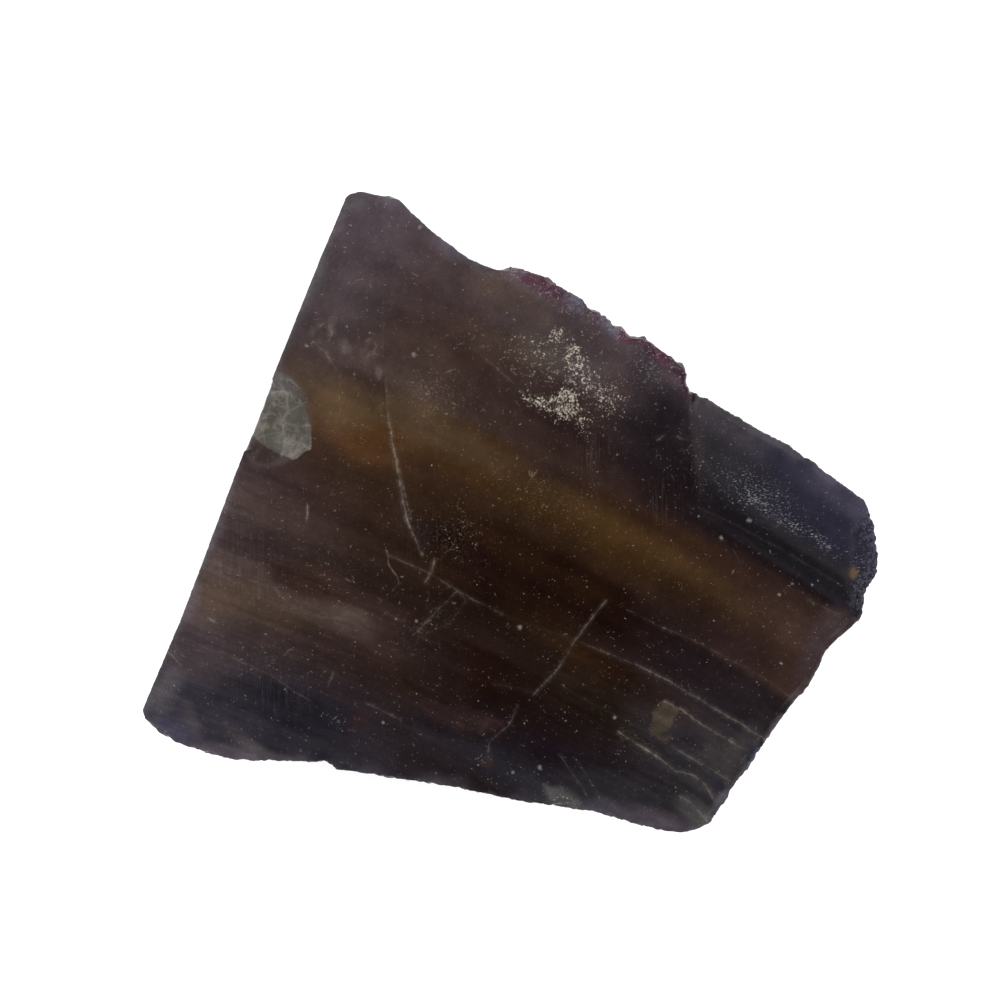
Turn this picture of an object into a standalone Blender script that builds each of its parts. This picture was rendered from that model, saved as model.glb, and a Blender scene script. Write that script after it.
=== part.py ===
"""Raw banded fluorite: a thick offcut with two saw cuts and otherwise natural or broken sides.

One stone, lying on its back. The large sawn face looks up (+Z), the second saw cut is the straight
wall on the left (-X), and the origin is under the middle of the stone, on the surface it rests on.
All dimensions below are millimetres. The scene is in metres.
"""

import math

import bmesh
import bpy
from mathutils import Matrix, Vector, noise

MM = 0.001

# Driving dimensions of the block.
THICKNESS = 18.0  # from the back it rests on up to the sawn face
FACE_PITCH = 3.0  # spacing of the cuts that divide the sawn face
SHOULDER = 0.9  # depth at which a wall has reached its full width below the rim
BROKEN_DEPTH = 2.3  # how far the broken walls step back from their outline
CRUST_DEPTH = 2.0  # from the tops of the crystal heads to the gaps between them
WALL_DEPTHS = (
    0.3, 0.6, 0.9, 1.5, 2.3, 3.2, 4.2, 5.2, 6.3, 7.4, 8.5, 9.6, 10.7, 11.8, 12.9, 14.0, 15.1, 16.2,
    17.2, 18.0,
)

# Growth bands: they cross the sawn face falling to the right, and dip a little into the stone.
BAND_FALL = math.radians(28.0)
BAND_DIP = 0.22
BAND_NORMAL = Vector((math.sin(BAND_FALL), math.cos(BAND_FALL), BAND_DIP))

# Outline of the stone seen square to the sawn face, one entry for each stretch of wall, clockwise
# from the low left corner. brow is how far the sawn face stops short of the outline, belly and foot
# are how far the wall stands out (or in) halfway down and at the back, rough scales the broken
# surface, and lumps scales the crystal crust.
STRETCHES = (
    {
        "name": "saw cut",
        "brow": 0.05, "belly": 0.0, "foot": 0.0, "rough": 0.0, "lumps": 0.0,
        "points": ((-30.0, -16.4), (-21.7, 4.6), (-13.4, 25.6)),
    },
    {
        "name": "apex",
        "brow": 0.35, "belly": 0.0, "foot": -1.1, "rough": 0.4, "lumps": 0.0,
        "points": ((-13.1, 25.9), (-12.4, 26.1), (-11.2, 26.0), (-9.8, 25.8), (-9.1, 25.4)),
    },
    {
        "name": "weathered slope",
        "brow": 0.9, "belly": 0.2, "foot": -1.6, "rough": 0.5, "lumps": 0.1,
        "points": (
            (-8.4, 24.6), (-7.0, 23.3), (-5.9, 22.4), (-4.6, 21.5), (-3.3, 20.6), (-1.7, 19.9),
            (-0.8, 19.8),
        ),
    },
    {
        "name": "crystal rind",
        "brow": 1.3, "belly": 0.2, "foot": -2.0, "rough": 0.25, "lumps": 1.0,
        "points": (
            (0.1, 20.0), (1.6, 19.7), (2.2, 19.2), (3.1, 19.0), (4.5, 18.1), (5.4, 17.4),
            (6.0, 16.8), (7.0, 16.6), (7.8, 15.8), (8.7, 15.2), (9.7, 14.4), (10.4, 14.3),
            (11.5, 13.7), (12.6, 12.8), (13.3, 12.5), (14.0, 11.7), (14.5, 10.9), (14.6, 10.1),
        ),
    },
    {
        "name": "lobe",
        "brow": 0.8, "belly": 0.1, "foot": -1.8, "rough": 0.6, "lumps": 0.2,
        "points": (
            (14.9, 9.9), (16.2, 8.9), (18.3, 7.9), (20.0, 6.8), (22.6, 5.5), (24.0, 4.4),
            (25.4, 3.4), (27.9, 1.8), (28.9, 0.8),
        ),
    },
    {
        "name": "tip",
        "brow": 0.7, "belly": -0.4, "foot": -2.2, "rough": 0.8, "lumps": 0.35,
        "points": (
            (29.5, -0.4), (29.9, -2.3), (29.9, -3.9), (30.0, -4.9), (29.7, -5.7), (29.0, -6.4),
            (28.9, -7.9),
        ),
    },
    {
        "name": "broken end",
        "brow": 0.25, "belly": -0.2, "foot": -2.0, "rough": 1.0, "lumps": 0.0,
        "points": (
            (28.4, -8.8), (26.7, -10.4), (25.9, -11.4), (25.3, -12.8), (24.4, -14.3),
            (23.5, -15.1), (22.4, -16.5), (21.3, -18.3), (20.4, -19.1), (20.0, -20.1),
            (19.1, -21.5), (17.9, -22.7),
        ),
    },
    {
        "name": "toe",
        "brow": 0.5, "belly": -0.5, "foot": -2.8, "rough": 0.7, "lumps": 0.0,
        "points": ((17.8, -23.3), (16.9, -24.5), (16.2, -25.5), (15.3, -26.0), (14.2, -26.1)),
    },
    {
        "name": "ragged foot",
        "brow": 0.3, "belly": 0.3, "foot": -0.7, "rough": 0.8, "lumps": 0.0,
        "points": (
            (12.3, -26.0), (10.6, -25.6), (9.2, -25.1), (6.9, -24.4), (4.4, -24.3), (3.2, -23.9),
            (0.9, -23.6), (-1.5, -23.2), (-3.4, -22.7), (-5.1, -22.3), (-6.6, -22.3),
            (-8.3, -21.9), (-9.7, -21.8), (-11.1, -21.5), (-13.2, -21.3), (-14.2, -21.0),
            (-15.0, -20.3), (-16.2, -20.5), (-19.3, -20.2), (-22.8, -20.2), (-24.7, -19.8),
            (-26.0, -19.1), (-27.2, -18.8), (-28.7, -18.1), (-29.8, -16.9),
        ),
    },
)
# Layers kept on the rim's corners while the face is divided: everything the walls need there.
WALL_LAYERS = ("edge_x", "edge_y", "out_x", "out_y", "brow", "belly", "foot", "rough", "lumps")

# The lobe beside the notch lies below the sawn face. A low scarp runs into the face from the notch,
# and the rest of its edge follows a band.
NOTCH = Vector((14.8, 10.0))
SCARP_END = Vector((15.6, 1.8))
LOBE_BAND = 7.0  # band coordinate where the lobe starts to fall away
LOBE_DROP = 0.25
LOBE_SLOPE = 0.11

# Thin layers broken off towards the toe, as steps down: band coordinate, and depth of the step.
LEDGES = ((-6.6, 0.28), (-8.3, 0.22), (-10.9, 0.25), (-12.4, 0.30), (-14.3, 0.35))
LEDGE_START, LEDGE_FULL = 5.0, 14.0  # along X: where the steps begin, and where they are whole
STEP_WIDTH = 0.3

# Chips struck off the rim: middle, radii and turn about Z of the ellipsoid that each one follows.
CHIPS = (
    {"name": "pale_chip", "at": (-20.0, 7.6, 19.2), "radii": (4.1, 4.3, 2.5), "turn": -21.0},
    {"name": "foot_chip", "at": (4.3, -24.3, 18.5), "radii": (2.2, 1.6, 1.3), "turn": -10.0},
    {"name": "foot_scallop", "at": (4.0, -25.9, 3.5), "radii": (7.0, 3.6, 4.6), "turn": -10.0},
    {"name": "lobe_scallop", "at": (23.5, 8.6, 6.5), "radii": (5.2, 4.0, 4.2), "turn": -32.0},
)

# Flat cleavage planes that undercut the stone near its back: a point on each, and the way it faces.
CLEAVAGE = (
    {"name": "toe undercut", "at": (15.0, -20.2, 0.0), "faces": (0.66, -0.42, -0.62)},
    {"name": "rind undercut", "at": (5.5, 13.0, 0.0), "faces": (0.42, 0.66, -0.62)},
    {"name": "tip undercut", "at": (24.6, -3.4, 0.0), "faces": (0.80, 0.12, -0.58)},
    {"name": "apex undercut", "at": (-11.4, 21.8, 0.0), "faces": (-0.10, 0.78, -0.62)},
    {"name": "saw corner undercut", "at": (-26.2, -16.2, 0.0), "faces": (-0.62, -0.52, -0.59)},
)

# The four octahedral cleavage directions of fluorite, as the crystal lies in this stone.
OCTAHEDRON = Matrix.Rotation(math.radians(34.0), 3, Vector((0.3, -0.5, 0.8)))
CLEAVAGE_NORMALS = [
    OCTAHEDRON @ Vector(corner).normalized()
    for corner in ((1, 1, 1), (1, -1, -1), (-1, 1, -1), (-1, -1, 1))
]


def smooth(low, high, value):
    """0 below low, 1 above high, and an even curve between."""
    share = min(max((value - low) / (high - low), 0.0), 1.0)
    return share * share * (3.0 - 2.0 * share)


def band_at(point):
    """Which growth band a point lies in, in millimetres across the bands at the sawn face."""
    return point.dot(BAND_NORMAL) - BAND_DIP * THICKNESS


def cleaved(point, cell_size, step):
    """A stepped surface, from about 0 to 1: each cell splits along one cleavage direction."""
    site = noise.voronoi(point / cell_size)[1][0]
    pick = noise.cell(site * 7.3 + Vector((3.1, 5.7, 1.9)))
    normal = CLEAVAGE_NORMALS[int((pick * 0.5 + 0.5) * 3.999) % 4]
    along = (point.dot(normal) / step + pick * 9.0) % 1.0
    tread = along / 0.72 if along < 0.72 else (1.0 - along) / 0.28
    return 0.65 * tread + 0.35 * (noise.noise(site * 3.7) + 0.5)


def crystal_lumps(point, size):
    """Rounded crystal heads packed side by side, from 0 in the gaps to about 1 on their tops."""
    nearest = noise.voronoi(point / size)[0][0]
    return max(0.0, 1.0 - 1.6 * nearest * nearest)


def outline():
    """The outline's corners with what the walls need there: a list of dicts, in order."""
    corners = []
    for stretch in STRETCHES:
        for x, y in stretch["points"]:
            kept = {key: stretch[key] for key in ("brow", "belly", "foot", "rough", "lumps")}
            corners.append({"edge": Vector((x, y)), **kept})
    for last, here, following in zip(corners[-1:] + corners[:-1], corners, corners[1:] + corners[:1]):
        along = (following["edge"] - here["edge"]).normalized()
        along += (here["edge"] - last["edge"]).normalized()
        here["out"] = Vector((-along.y, along.x)).normalized()
    return corners


def rim_points(corners):
    """Where the sawn face ends: the outline drawn in by its brow, and evened out where that is wide."""
    rim = [corner["edge"].copy() for corner in corners]
    for _ in range(3):
        evened = []
        for last, here, following, corner in zip(rim[-1:] + rim[:-1], rim, rim[1:] + rim[:1], corners):
            share = min(corner["brow"], 1.0) * 0.6
            evened.append(here.lerp((last + following) / 2, share))
        rim = evened
    return [here - corner["out"] * corner["brow"] for here, corner in zip(rim, corners)]


def face_relief(x, y):
    """Height of the sawn side at a point, against the saw's own plane: the lobe and the ledges."""
    at = Vector((x, y, THICKNESS))
    band = band_at(at)
    scarp = SCARP_END - NOTCH
    beyond = (Vector((x, y)) - NOTCH).cross(scarp) / scarp.length
    in_lobe = smooth(-0.2, 0.2, -beyond) * smooth(LOBE_BAND - 0.2, LOBE_BAND + 0.2, band)
    drop = in_lobe * (LOBE_DROP + LOBE_SLOPE * max(0.0, band - LOBE_BAND))
    reach = smooth(LEDGE_START, LEDGE_FULL, x)
    for ledge_band, depth in LEDGES:
        drop += depth * reach * smooth(0.0, STEP_WIDTH, ledge_band - band)
    return -drop


def sawn_face(block, corners):
    """The large sawn face as one flat region, divided by a grid and along the lines of its relief."""
    layers = {name: block.verts.layers.float.new(name) for name in WALL_LAYERS}
    verts = []
    for place, corner in zip(rim_points(corners), corners):
        vert = block.verts.new((place.x, place.y, THICKNESS))
        values = {**corner, "edge_x": corner["edge"].x, "edge_y": corner["edge"].y}
        values.update(out_x=corner["out"].x, out_y=corner["out"].y)
        for name in WALL_LAYERS:
            vert[layers[name]] = values[name]
        verts.append(vert)
    block.faces.new(reversed(verts))

    cuts = [(Vector((i * FACE_PITCH, 0, 0)), Vector((1, 0, 0))) for i in range(-9, 10)]
    cuts += [(Vector((0, i * FACE_PITCH, 0)), Vector((0, 1, 0))) for i in range(-8, 9)]
    for place, normal in cuts:
        cut(block, list(block.faces), place, normal)

    across = Vector((BAND_NORMAL.x, BAND_NORMAL.y, 0.0))
    for ledge_band, _ in LEDGES:
        for band in (ledge_band, ledge_band - STEP_WIDTH):
            near = [f for f in block.faces if f.calc_center_median().x > LEDGE_START]
            cut(block, near, across * band, across)
    for band in (LOBE_BAND - 0.2, LOBE_BAND + 0.2):
        near = [f for f in block.faces if f.calc_center_median().x > NOTCH.x - 1.0]
        cut(block, near, across * band, across)
    scarp = (SCARP_END - NOTCH).to_3d()
    aside = Vector((-scarp.y, scarp.x, 0.0)).normalized()
    for shift in (-0.2, 0.2):
        near = [f for f in block.faces if in_scarp_reach(f.calc_center_median())]
        cut(block, near, NOTCH.to_3d() + aside * shift, aside)


def in_scarp_reach(place):
    """Whether a face of the sawn side is close enough to the scarp to be divided along it."""
    return abs(place.x - NOTCH.x) < FACE_PITCH and place.y > SCARP_END.y - FACE_PITCH


def cut(block, faces, place, normal):
    """Divides some faces along a plane, taking nothing away."""
    edges = {edge for face in faces for edge in face.edges}
    verts = {vert for face in faces for vert in face.verts}
    bmesh.ops.bisect_plane(
        block, geom=[*verts, *edges, *faces], dist=0.02, plane_co=place, plane_no=normal
    )


def wall_point(vert, depth, layers):
    """Where the wall below one rim vertex has got to at a depth under the sawn face."""
    value = {name: vert[layers[name]] for name in WALL_LAYERS}
    out = Vector((value["out_x"], value["out_y"], 0.0)).normalized()
    edge = Vector((value["edge_x"], value["edge_y"], 0.0))
    turned = 1.0 - min(depth / SHOULDER, 1.0)
    inset = value["brow"] * (1.0 - math.sqrt(1.0 - turned * turned))
    halfway = THICKNESS / 2
    if depth < halfway:
        lean = value["belly"] * smooth(SHOULDER, halfway, depth)
    else:
        lean = value["belly"] + (value["foot"] - value["belly"]) * smooth(halfway, THICKNESS, depth)
    place = edge + Vector((0, 0, THICKNESS - depth))
    broken = BROKEN_DEPTH * (cleaved(place, 8.0, 5.0) - 1.0) * smooth(SHOULDER * 0.6, 4.5, depth)
    heads = 0.7 * crystal_lumps(place, 3.4) + 0.3 * crystal_lumps(place, 1.9)
    crust = CRUST_DEPTH * (heads - 0.75) * smooth(0.2, SHOULDER, depth)
    place += out * (lean - inset + value["rough"] * broken + value["lumps"] * crust)
    place.z += face_relief(edge.x, edge.y) * (1.0 - depth / THICKNESS)
    return place


def add_walls(block):
    """The walls, row by row down from the rim, and the flat back that closes the block."""
    layers = {name: block.verts.layers.float[name] for name in WALL_LAYERS}
    ring = [edge for edge in block.edges if edge.is_boundary]
    for depth in WALL_DEPTHS:
        made = bmesh.ops.extrude_edge_only(block, edges=ring)["geom"]
        ring = [item for item in made if isinstance(item, bmesh.types.BMEdge) and item.is_boundary]
        for vert in {vert for edge in ring for vert in edge.verts}:
            vert.co = wall_point(vert, depth, layers)
    bmesh.ops.contextual_create(block, geom=ring)


def cleave(block, plane):
    """Splits the stone along a cleavage plane and drops the piece outside it."""
    bmesh.ops.bisect_plane(
        block,
        geom=[*block.verts, *block.edges, *block.faces],
        dist=0.02,
        plane_co=Vector(plane["at"]),
        plane_no=Vector(plane["faces"]).normalized(),
        clear_outer=True,
    )
    opened = [edge for edge in block.edges if edge.is_boundary]
    bmesh.ops.contextual_create(block, geom=opened)


def chip_cutter(chip):
    """A faceted ellipsoid that takes one chip off the stone."""
    mesh = bpy.data.meshes.new(chip["name"])
    shape = bmesh.new()
    bmesh.ops.create_icosphere(shape, subdivisions=3, radius=1.0)
    for vert in shape.verts:
        vert.co *= 1.0 + 0.05 * noise.noise(vert.co * 2.1 + Vector(chip["at"]))
    place = (
        Matrix.Translation(Vector(chip["at"]) * MM)
        @ Matrix.Rotation(math.radians(chip["turn"]), 4, "Z")
        @ Matrix.Diagonal((*(Vector(chip["radii"]) * MM), 1.0))
    )
    bmesh.ops.transform(shape, matrix=place, verts=shape.verts)
    shape.to_mesh(mesh)
    shape.free()
    cutter = bpy.data.objects.new(chip["name"], mesh)
    cutter.hide_render = True
    cutter.display_type = "WIRE"
    bpy.context.scene.collection.objects.link(cutter)
    return cutter


def fluorite_material():
    """Dark, slightly glossy banded fluorite, as one even colour."""
    material = bpy.data.materials.new("fluorite")
    material.use_nodes = True
    shader = material.node_tree.nodes["Principled BSDF"]
    shader.inputs["Base Color"].default_value = (0.045, 0.026, 0.021, 1.0)
    shader.inputs["Roughness"].default_value = 0.42
    shader.inputs["Metallic"].default_value = 0.0
    shader.inputs["IOR"].default_value = 1.434
    return material


def build_stone():
    """The whole stone as one object."""
    block = bmesh.new()
    sawn_face(block, outline())
    add_walls(block)
    face_verts = [vert for vert in block.verts if abs(vert.co.z - THICKNESS) < 1e-6]
    for vert in face_verts:
        vert.co.z += face_relief(vert.co.x, vert.co.y)
    for plane in CLEAVAGE:
        cleave(block, plane)
    bmesh.ops.triangulate(block, faces=block.faces[:])
    bmesh.ops.recalc_face_normals(block, faces=block.faces[:])
    bmesh.ops.scale(block, vec=(MM, MM, MM), verts=block.verts)

    mesh = bpy.data.meshes.new("fluorite_stone")
    block.to_mesh(mesh)
    block.free()
    mesh.materials.append(fluorite_material())
    stone = bpy.data.objects.new("fluorite_stone", mesh)
    bpy.context.scene.collection.objects.link(stone)
    for chip in CHIPS:
        chipped = stone.modifiers.new(chip["name"], "BOOLEAN")
        chipped.operation = "DIFFERENCE"
        chipped.object = chip_cutter(chip)
    return stone


def main():
    for old in list(bpy.data.objects):
        bpy.data.objects.remove(old)
    build_stone()


main()
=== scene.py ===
"""Raw banded fluorite: a thick dark offcut, sawn face up, lying on a pale studio floor."""

import math

import bmesh
import bpy
import numpy as np
from mathutils import Matrix, Vector, noise


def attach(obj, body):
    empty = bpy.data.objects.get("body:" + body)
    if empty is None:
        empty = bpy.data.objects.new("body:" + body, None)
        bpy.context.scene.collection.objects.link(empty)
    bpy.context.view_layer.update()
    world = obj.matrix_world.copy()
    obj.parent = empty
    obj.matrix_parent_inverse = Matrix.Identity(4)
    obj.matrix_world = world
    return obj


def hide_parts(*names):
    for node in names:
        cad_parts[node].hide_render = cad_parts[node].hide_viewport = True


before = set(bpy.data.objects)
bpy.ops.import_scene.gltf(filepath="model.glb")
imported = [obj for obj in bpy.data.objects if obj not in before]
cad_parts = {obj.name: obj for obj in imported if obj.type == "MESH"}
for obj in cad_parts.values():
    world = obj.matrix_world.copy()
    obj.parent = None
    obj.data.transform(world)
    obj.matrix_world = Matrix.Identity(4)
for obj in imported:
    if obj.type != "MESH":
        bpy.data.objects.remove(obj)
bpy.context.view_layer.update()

noise.seed_set(3)  # without it, noise_vector differs in each run

MM = 0.001
THICKNESS = 18.0  # mm, up to the sawn face

# How strongly the studio lights the sawn face, and what its gloss adds. Colours are named as they
# look, and these turn them into the stone's own.
STUDIO_LIGHT = 1.59
GLOSS = 0.002
FLUORITE_IOR = 1.434

# The stone is worked in facets of this size (mm), halved above FINE_FROM, where the sawn face is.
FACET = 0.43
FINE_FROM = 15.7
FACE_FROM = (13.8, 15.2)  # mm: the walls pass into the face between these heights
RIM_FROM = 16.0  # mm: above this, edges sharper than SHARP_ANGLE aren't smoothed over
SHARP_ANGLE = math.radians(38.0)
RIM_REACH = 0.4  # mm: the furthest that a point is moved to give the face a crisp edge

# Growth bands: across the face they fall to the right, a little more steeply the further they go.
BAND_X, BAND_BOW, BAND_Y, BAND_DIP = 0.45, 0.0025, 0.883, 0.22

# The walls round the sawn face, clockwise from the low left corner, in millimetres.
WALLS = {
    "sawn": ((-30.0, -16.4), (-21.7, 4.6), (-13.4, 25.6)),
    "apex": ((-13.1, 25.9), (-12.4, 26.1), (-11.2, 26.0), (-9.1, 25.4)),
    "slope": ((-8.4, 24.6), (-5.9, 22.4), (-3.3, 20.6), (-0.8, 19.8)),
    "rind": (
        (0.1, 20.0), (1.6, 19.7), (3.1, 19.0), (5.4, 17.4), (7.0, 16.6), (9.7, 14.4), (11.5, 13.7),
        (13.3, 12.5), (14.5, 10.9), (14.6, 10.1),
    ),
    "lobe": ((14.9, 9.9), (18.3, 7.9), (22.6, 5.5), (25.4, 3.4), (28.9, 0.8)),
    "tip": ((29.5, -0.4), (29.9, -2.3), (30.0, -4.9), (29.0, -6.4), (28.9, -7.9)),
    "broken": (
        (28.4, -8.8), (25.9, -11.4), (24.4, -14.3), (22.4, -16.5), (20.4, -19.1), (17.9, -22.7),
    ),
    "toe": ((17.8, -23.3), (16.2, -25.5), (14.2, -26.1)),
    "foot": (
        (12.3, -26.0), (6.9, -24.4), (0.9, -23.6), (-5.1, -22.3), (-14.2, -21.0), (-15.0, -20.3),
        (-22.8, -20.2), (-27.2, -18.8), (-29.8, -16.9),
    ),
}
# How rough each wall is: depth in millimetres of its cleavage steps, and of its crystal heads.
STEPS = {"sawn": 0.0, "apex": 0.3, "slope": 0.35, "rind": 0.1, "lobe": 0.25, "tip": 0.45,
         "broken": 0.6, "toe": 0.5, "foot": 0.5}
HEADS = {"rind": 0.4, "lobe": 0.06, "tip": 0.3}
# How ragged its rim is, in millimetres.
RAGGED = {"sawn": 0.03, "apex": 0.07, "slope": 0.08, "rind": 0.14, "lobe": 0.08, "tip": 0.16,
          "broken": 0.15, "toe": 0.12, "foot": 0.15}
# Painted light on the thin rim: how much paler it is painted, where light would get through.
PAINTED_RIM_LIGHT = {"sawn": 0.4, "apex": 0.35, "slope": 0.2, "rind": 0.0, "lobe": 0.35, "tip": 0.15,
            "broken": 0.45, "toe": 0.5, "foot": 0.12}
# How crisp the edge of the sawn face is along it.
CRISP = {"sawn": 1.0, "apex": 0.9, "slope": 0.5, "rind": 0.2, "lobe": 0.8, "tip": 0.6,
         "broken": 1.0, "toe": 0.9, "foot": 0.9}
# How far the rim swells out over its wall at places round the outline: x, y and how far.
SWELLS = (
    (-30.0, -16.4, 0.21), (-27.0, -9.0, 0.0), (-22.0, 3.0, 0.23), (-18.6, 11.0, 0.3),
    (-15.0, 21.0, 0.25), (-13.5, 25.2, 0.15), (-12.9, 26.0, 0.22), (-11.0, 26.0, 0.1),
    (-8.3, 24.5, 0.31), (-6.3, 22.9, 0.29), (-2.2, 20.2, 0.2), (1.6, 19.7, 0.12),
    (3.4, 18.8, 0.3), (4.8, 17.9, 0.66), (7.7, 16.0, 0.83), (10.2, 14.3, 0.43),
    (12.6, 13.0, 0.6), (14.2, 11.2, 0.52), (14.9, 9.9, 0.42), (18.4, 7.9, 0.17),
    (22.4, 5.6, 0.19), (25.3, 3.6, 0.33), (27.6, 1.8, 0.26), (29.6, -1.0, 0.33),
    (29.8, -5.0, 0.45), (28.8, -8.0, 0.3), (26.6, -10.6, 0.05), (22.7, -15.9, 0.15),
    (19.6, -20.2, 0.32), (17.0, -24.0, 0.18), (14.9, -26.0, 0.34), (12.0, -25.9, 0.24),
    (7.0, -24.5, 0.28), (1.0, -23.6, 0.19), (-6.0, -22.2, 0.2), (-14.0, -21.0, 0.14),
    (-17.5, -20.3, 0.25), (-24.0, -19.9, 0.24), (-28.8, -17.8, 0.28),
)
# The scarp between the sawn face and the lobe, and how the lobe falls away beyond it.
SCARP = ((13.8, 12.5), (14.8, 10.0), (15.3, 5.6), (15.8, 1.6), (16.2, -1.5))
SCARP_END = (15.0, 9.6)  # where the scarp meets the rim
LOBE_FALL, LOBE_SLOPE, LOBE_BAND = 0.25, 0.11, 7.0  # as the solid has it
SOFT_FALL, SOFT_SLOPE = 0.08, 0.03  # as it is eased
# The solid's ledges, where thin layers broke off along the bands: band and depth.
LEDGES = ((-6.6, 0.28), (-8.3, 0.22), (-10.9, 0.25), (-12.4, 0.3), (-14.3, 0.35))
LEDGE_REACH = (5.0, 14.0)  # mm along X, over which they grow to their depth
SOFT_LEDGE = 0.3  # how much of each ledge is left

# How the crystal lies in the stone, and the four ways that it cleaves.
CRYSTAL_TURN = Matrix.Rotation(math.radians(34.0), 3, Vector((0.3, -0.5, 0.8)))
CLEAVAGE_NORMALS = [
    CRYSTAL_TURN @ Vector(corner).normalized()
    for corner in ((1, 1, 1), (1, -1, -1), (-1, 1, -1), (-1, -1, 1))
]
# How wide the cleaved cells are, and how high their steps, in millimetres.
BROAD_CLEAVAGE, SMALL_CLEAVAGE, CHIP_CLEAVAGE = (3.4, 2.1), (1.6, 0.9), (1.7, 1.1)
LARGE_HEADS, SMALL_HEADS = 1.6, 0.8  # mm across, for crystal heads

# Colours of the stone as they look in the studio light, 0 to 255.
PALETTE = {
    "lilac grey": (85, 76, 84), "mauve": (77, 66, 69), "dusk rose": (69, 56, 58),
    "pink brown": (79, 65, 61), "olive": (80, 66, 60), "dusk brown": (66, 51, 45),
    "plum brown": (58, 44, 42), "honey": (79, 61, 43), "amber": (82, 55, 31),
    "bright gold": (71, 51, 28), "gold": (63, 45, 29), "umber": (52, 35, 24),
    "rosewood": (51, 37, 33), "rose": (66, 50, 46), "dark umber": (38, 23, 14),
    "black umber": (29, 16, 12), "dark plum": (42, 30, 29), "black plum": (31, 23, 25),
    "aubergine": (38, 31, 34), "pewter": (62, 57, 58), "slate": (46, 43, 47),
    "ink": (38, 36, 42), "violet grey": (63, 59, 71), "charcoal": (29, 27, 31),
    # Painted light: the paler tint laid on the thin rim, where light would shine through it.
    "night blue": (40, 38, 50), "painted rim light": (112, 106, 118), "wine": (47, 33, 35),
    "cream": (74, 65, 54), "ash": (90, 87, 87), "russet": (59, 43, 38),
    "old gold": (60, 41, 22), "brown": (46, 31, 20), "dark olive": (35, 26, 20),
    "toe blue": (43, 46, 62), "scarp red": (58, 40, 40), "rind rose": (84, 52, 64),
    # The apex's lilac is the stone's own colour, made paler with painted sheen.
    "apex lilac": (85, 75, 85), "bright honey": (90, 71, 50), "blue black": (31, 29, 37),
    "night plum": (24, 18, 23), "rust": (116, 92, 62), "notch grey": (37, 31, 35),
    "lobe blue": (42, 41, 53), "lobe grey": (60, 56, 61), "pink ash": (90, 76, 73),
    "bark": (36, 25, 21), "haze": (84, 72, 62), "pale mottle": (106, 94, 89),
    "beige": (84, 68, 58), "pale lilac": (96, 91, 95), "violet corner": (68, 64, 78),
    "foot grey": (82, 76, 80), "foot dusk": (62, 56, 62), "foot violet": (78, 74, 84),
    "rind pink": (86, 67, 76), "rind blush": (95, 77, 85), "rind ice": (104, 100, 112),
    "rind plum": (56, 37, 48),
    # Of what lies over the bands
    "dark line": (22, 18, 22), "pale line": (158, 147, 134), "saw mark": (120, 110, 106),
    "frosted wall": (96, 86, 96), "chip shade": (82, 78, 71), "chip light": (122, 116, 107),
    # Painted highlight and painted shade: the rind's glints are painted light on its crystals, its
    # gap colour painted shade between them.
    "chip flaw": (156, 151, 142), "painted rind glint": (168, 156, 172), "painted rind gap shade": (46, 28, 36),
    "tip shade": (30, 29, 41), "tip light": (90, 89, 104), "crust grit": (96, 80, 66),
    "crust white": (196, 188, 172), "lobe frost": (138, 140, 142), "caught grain": (132, 128, 122),
    "dust film": (134, 118, 100), "dust speck": (140, 124, 104),
}

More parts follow.
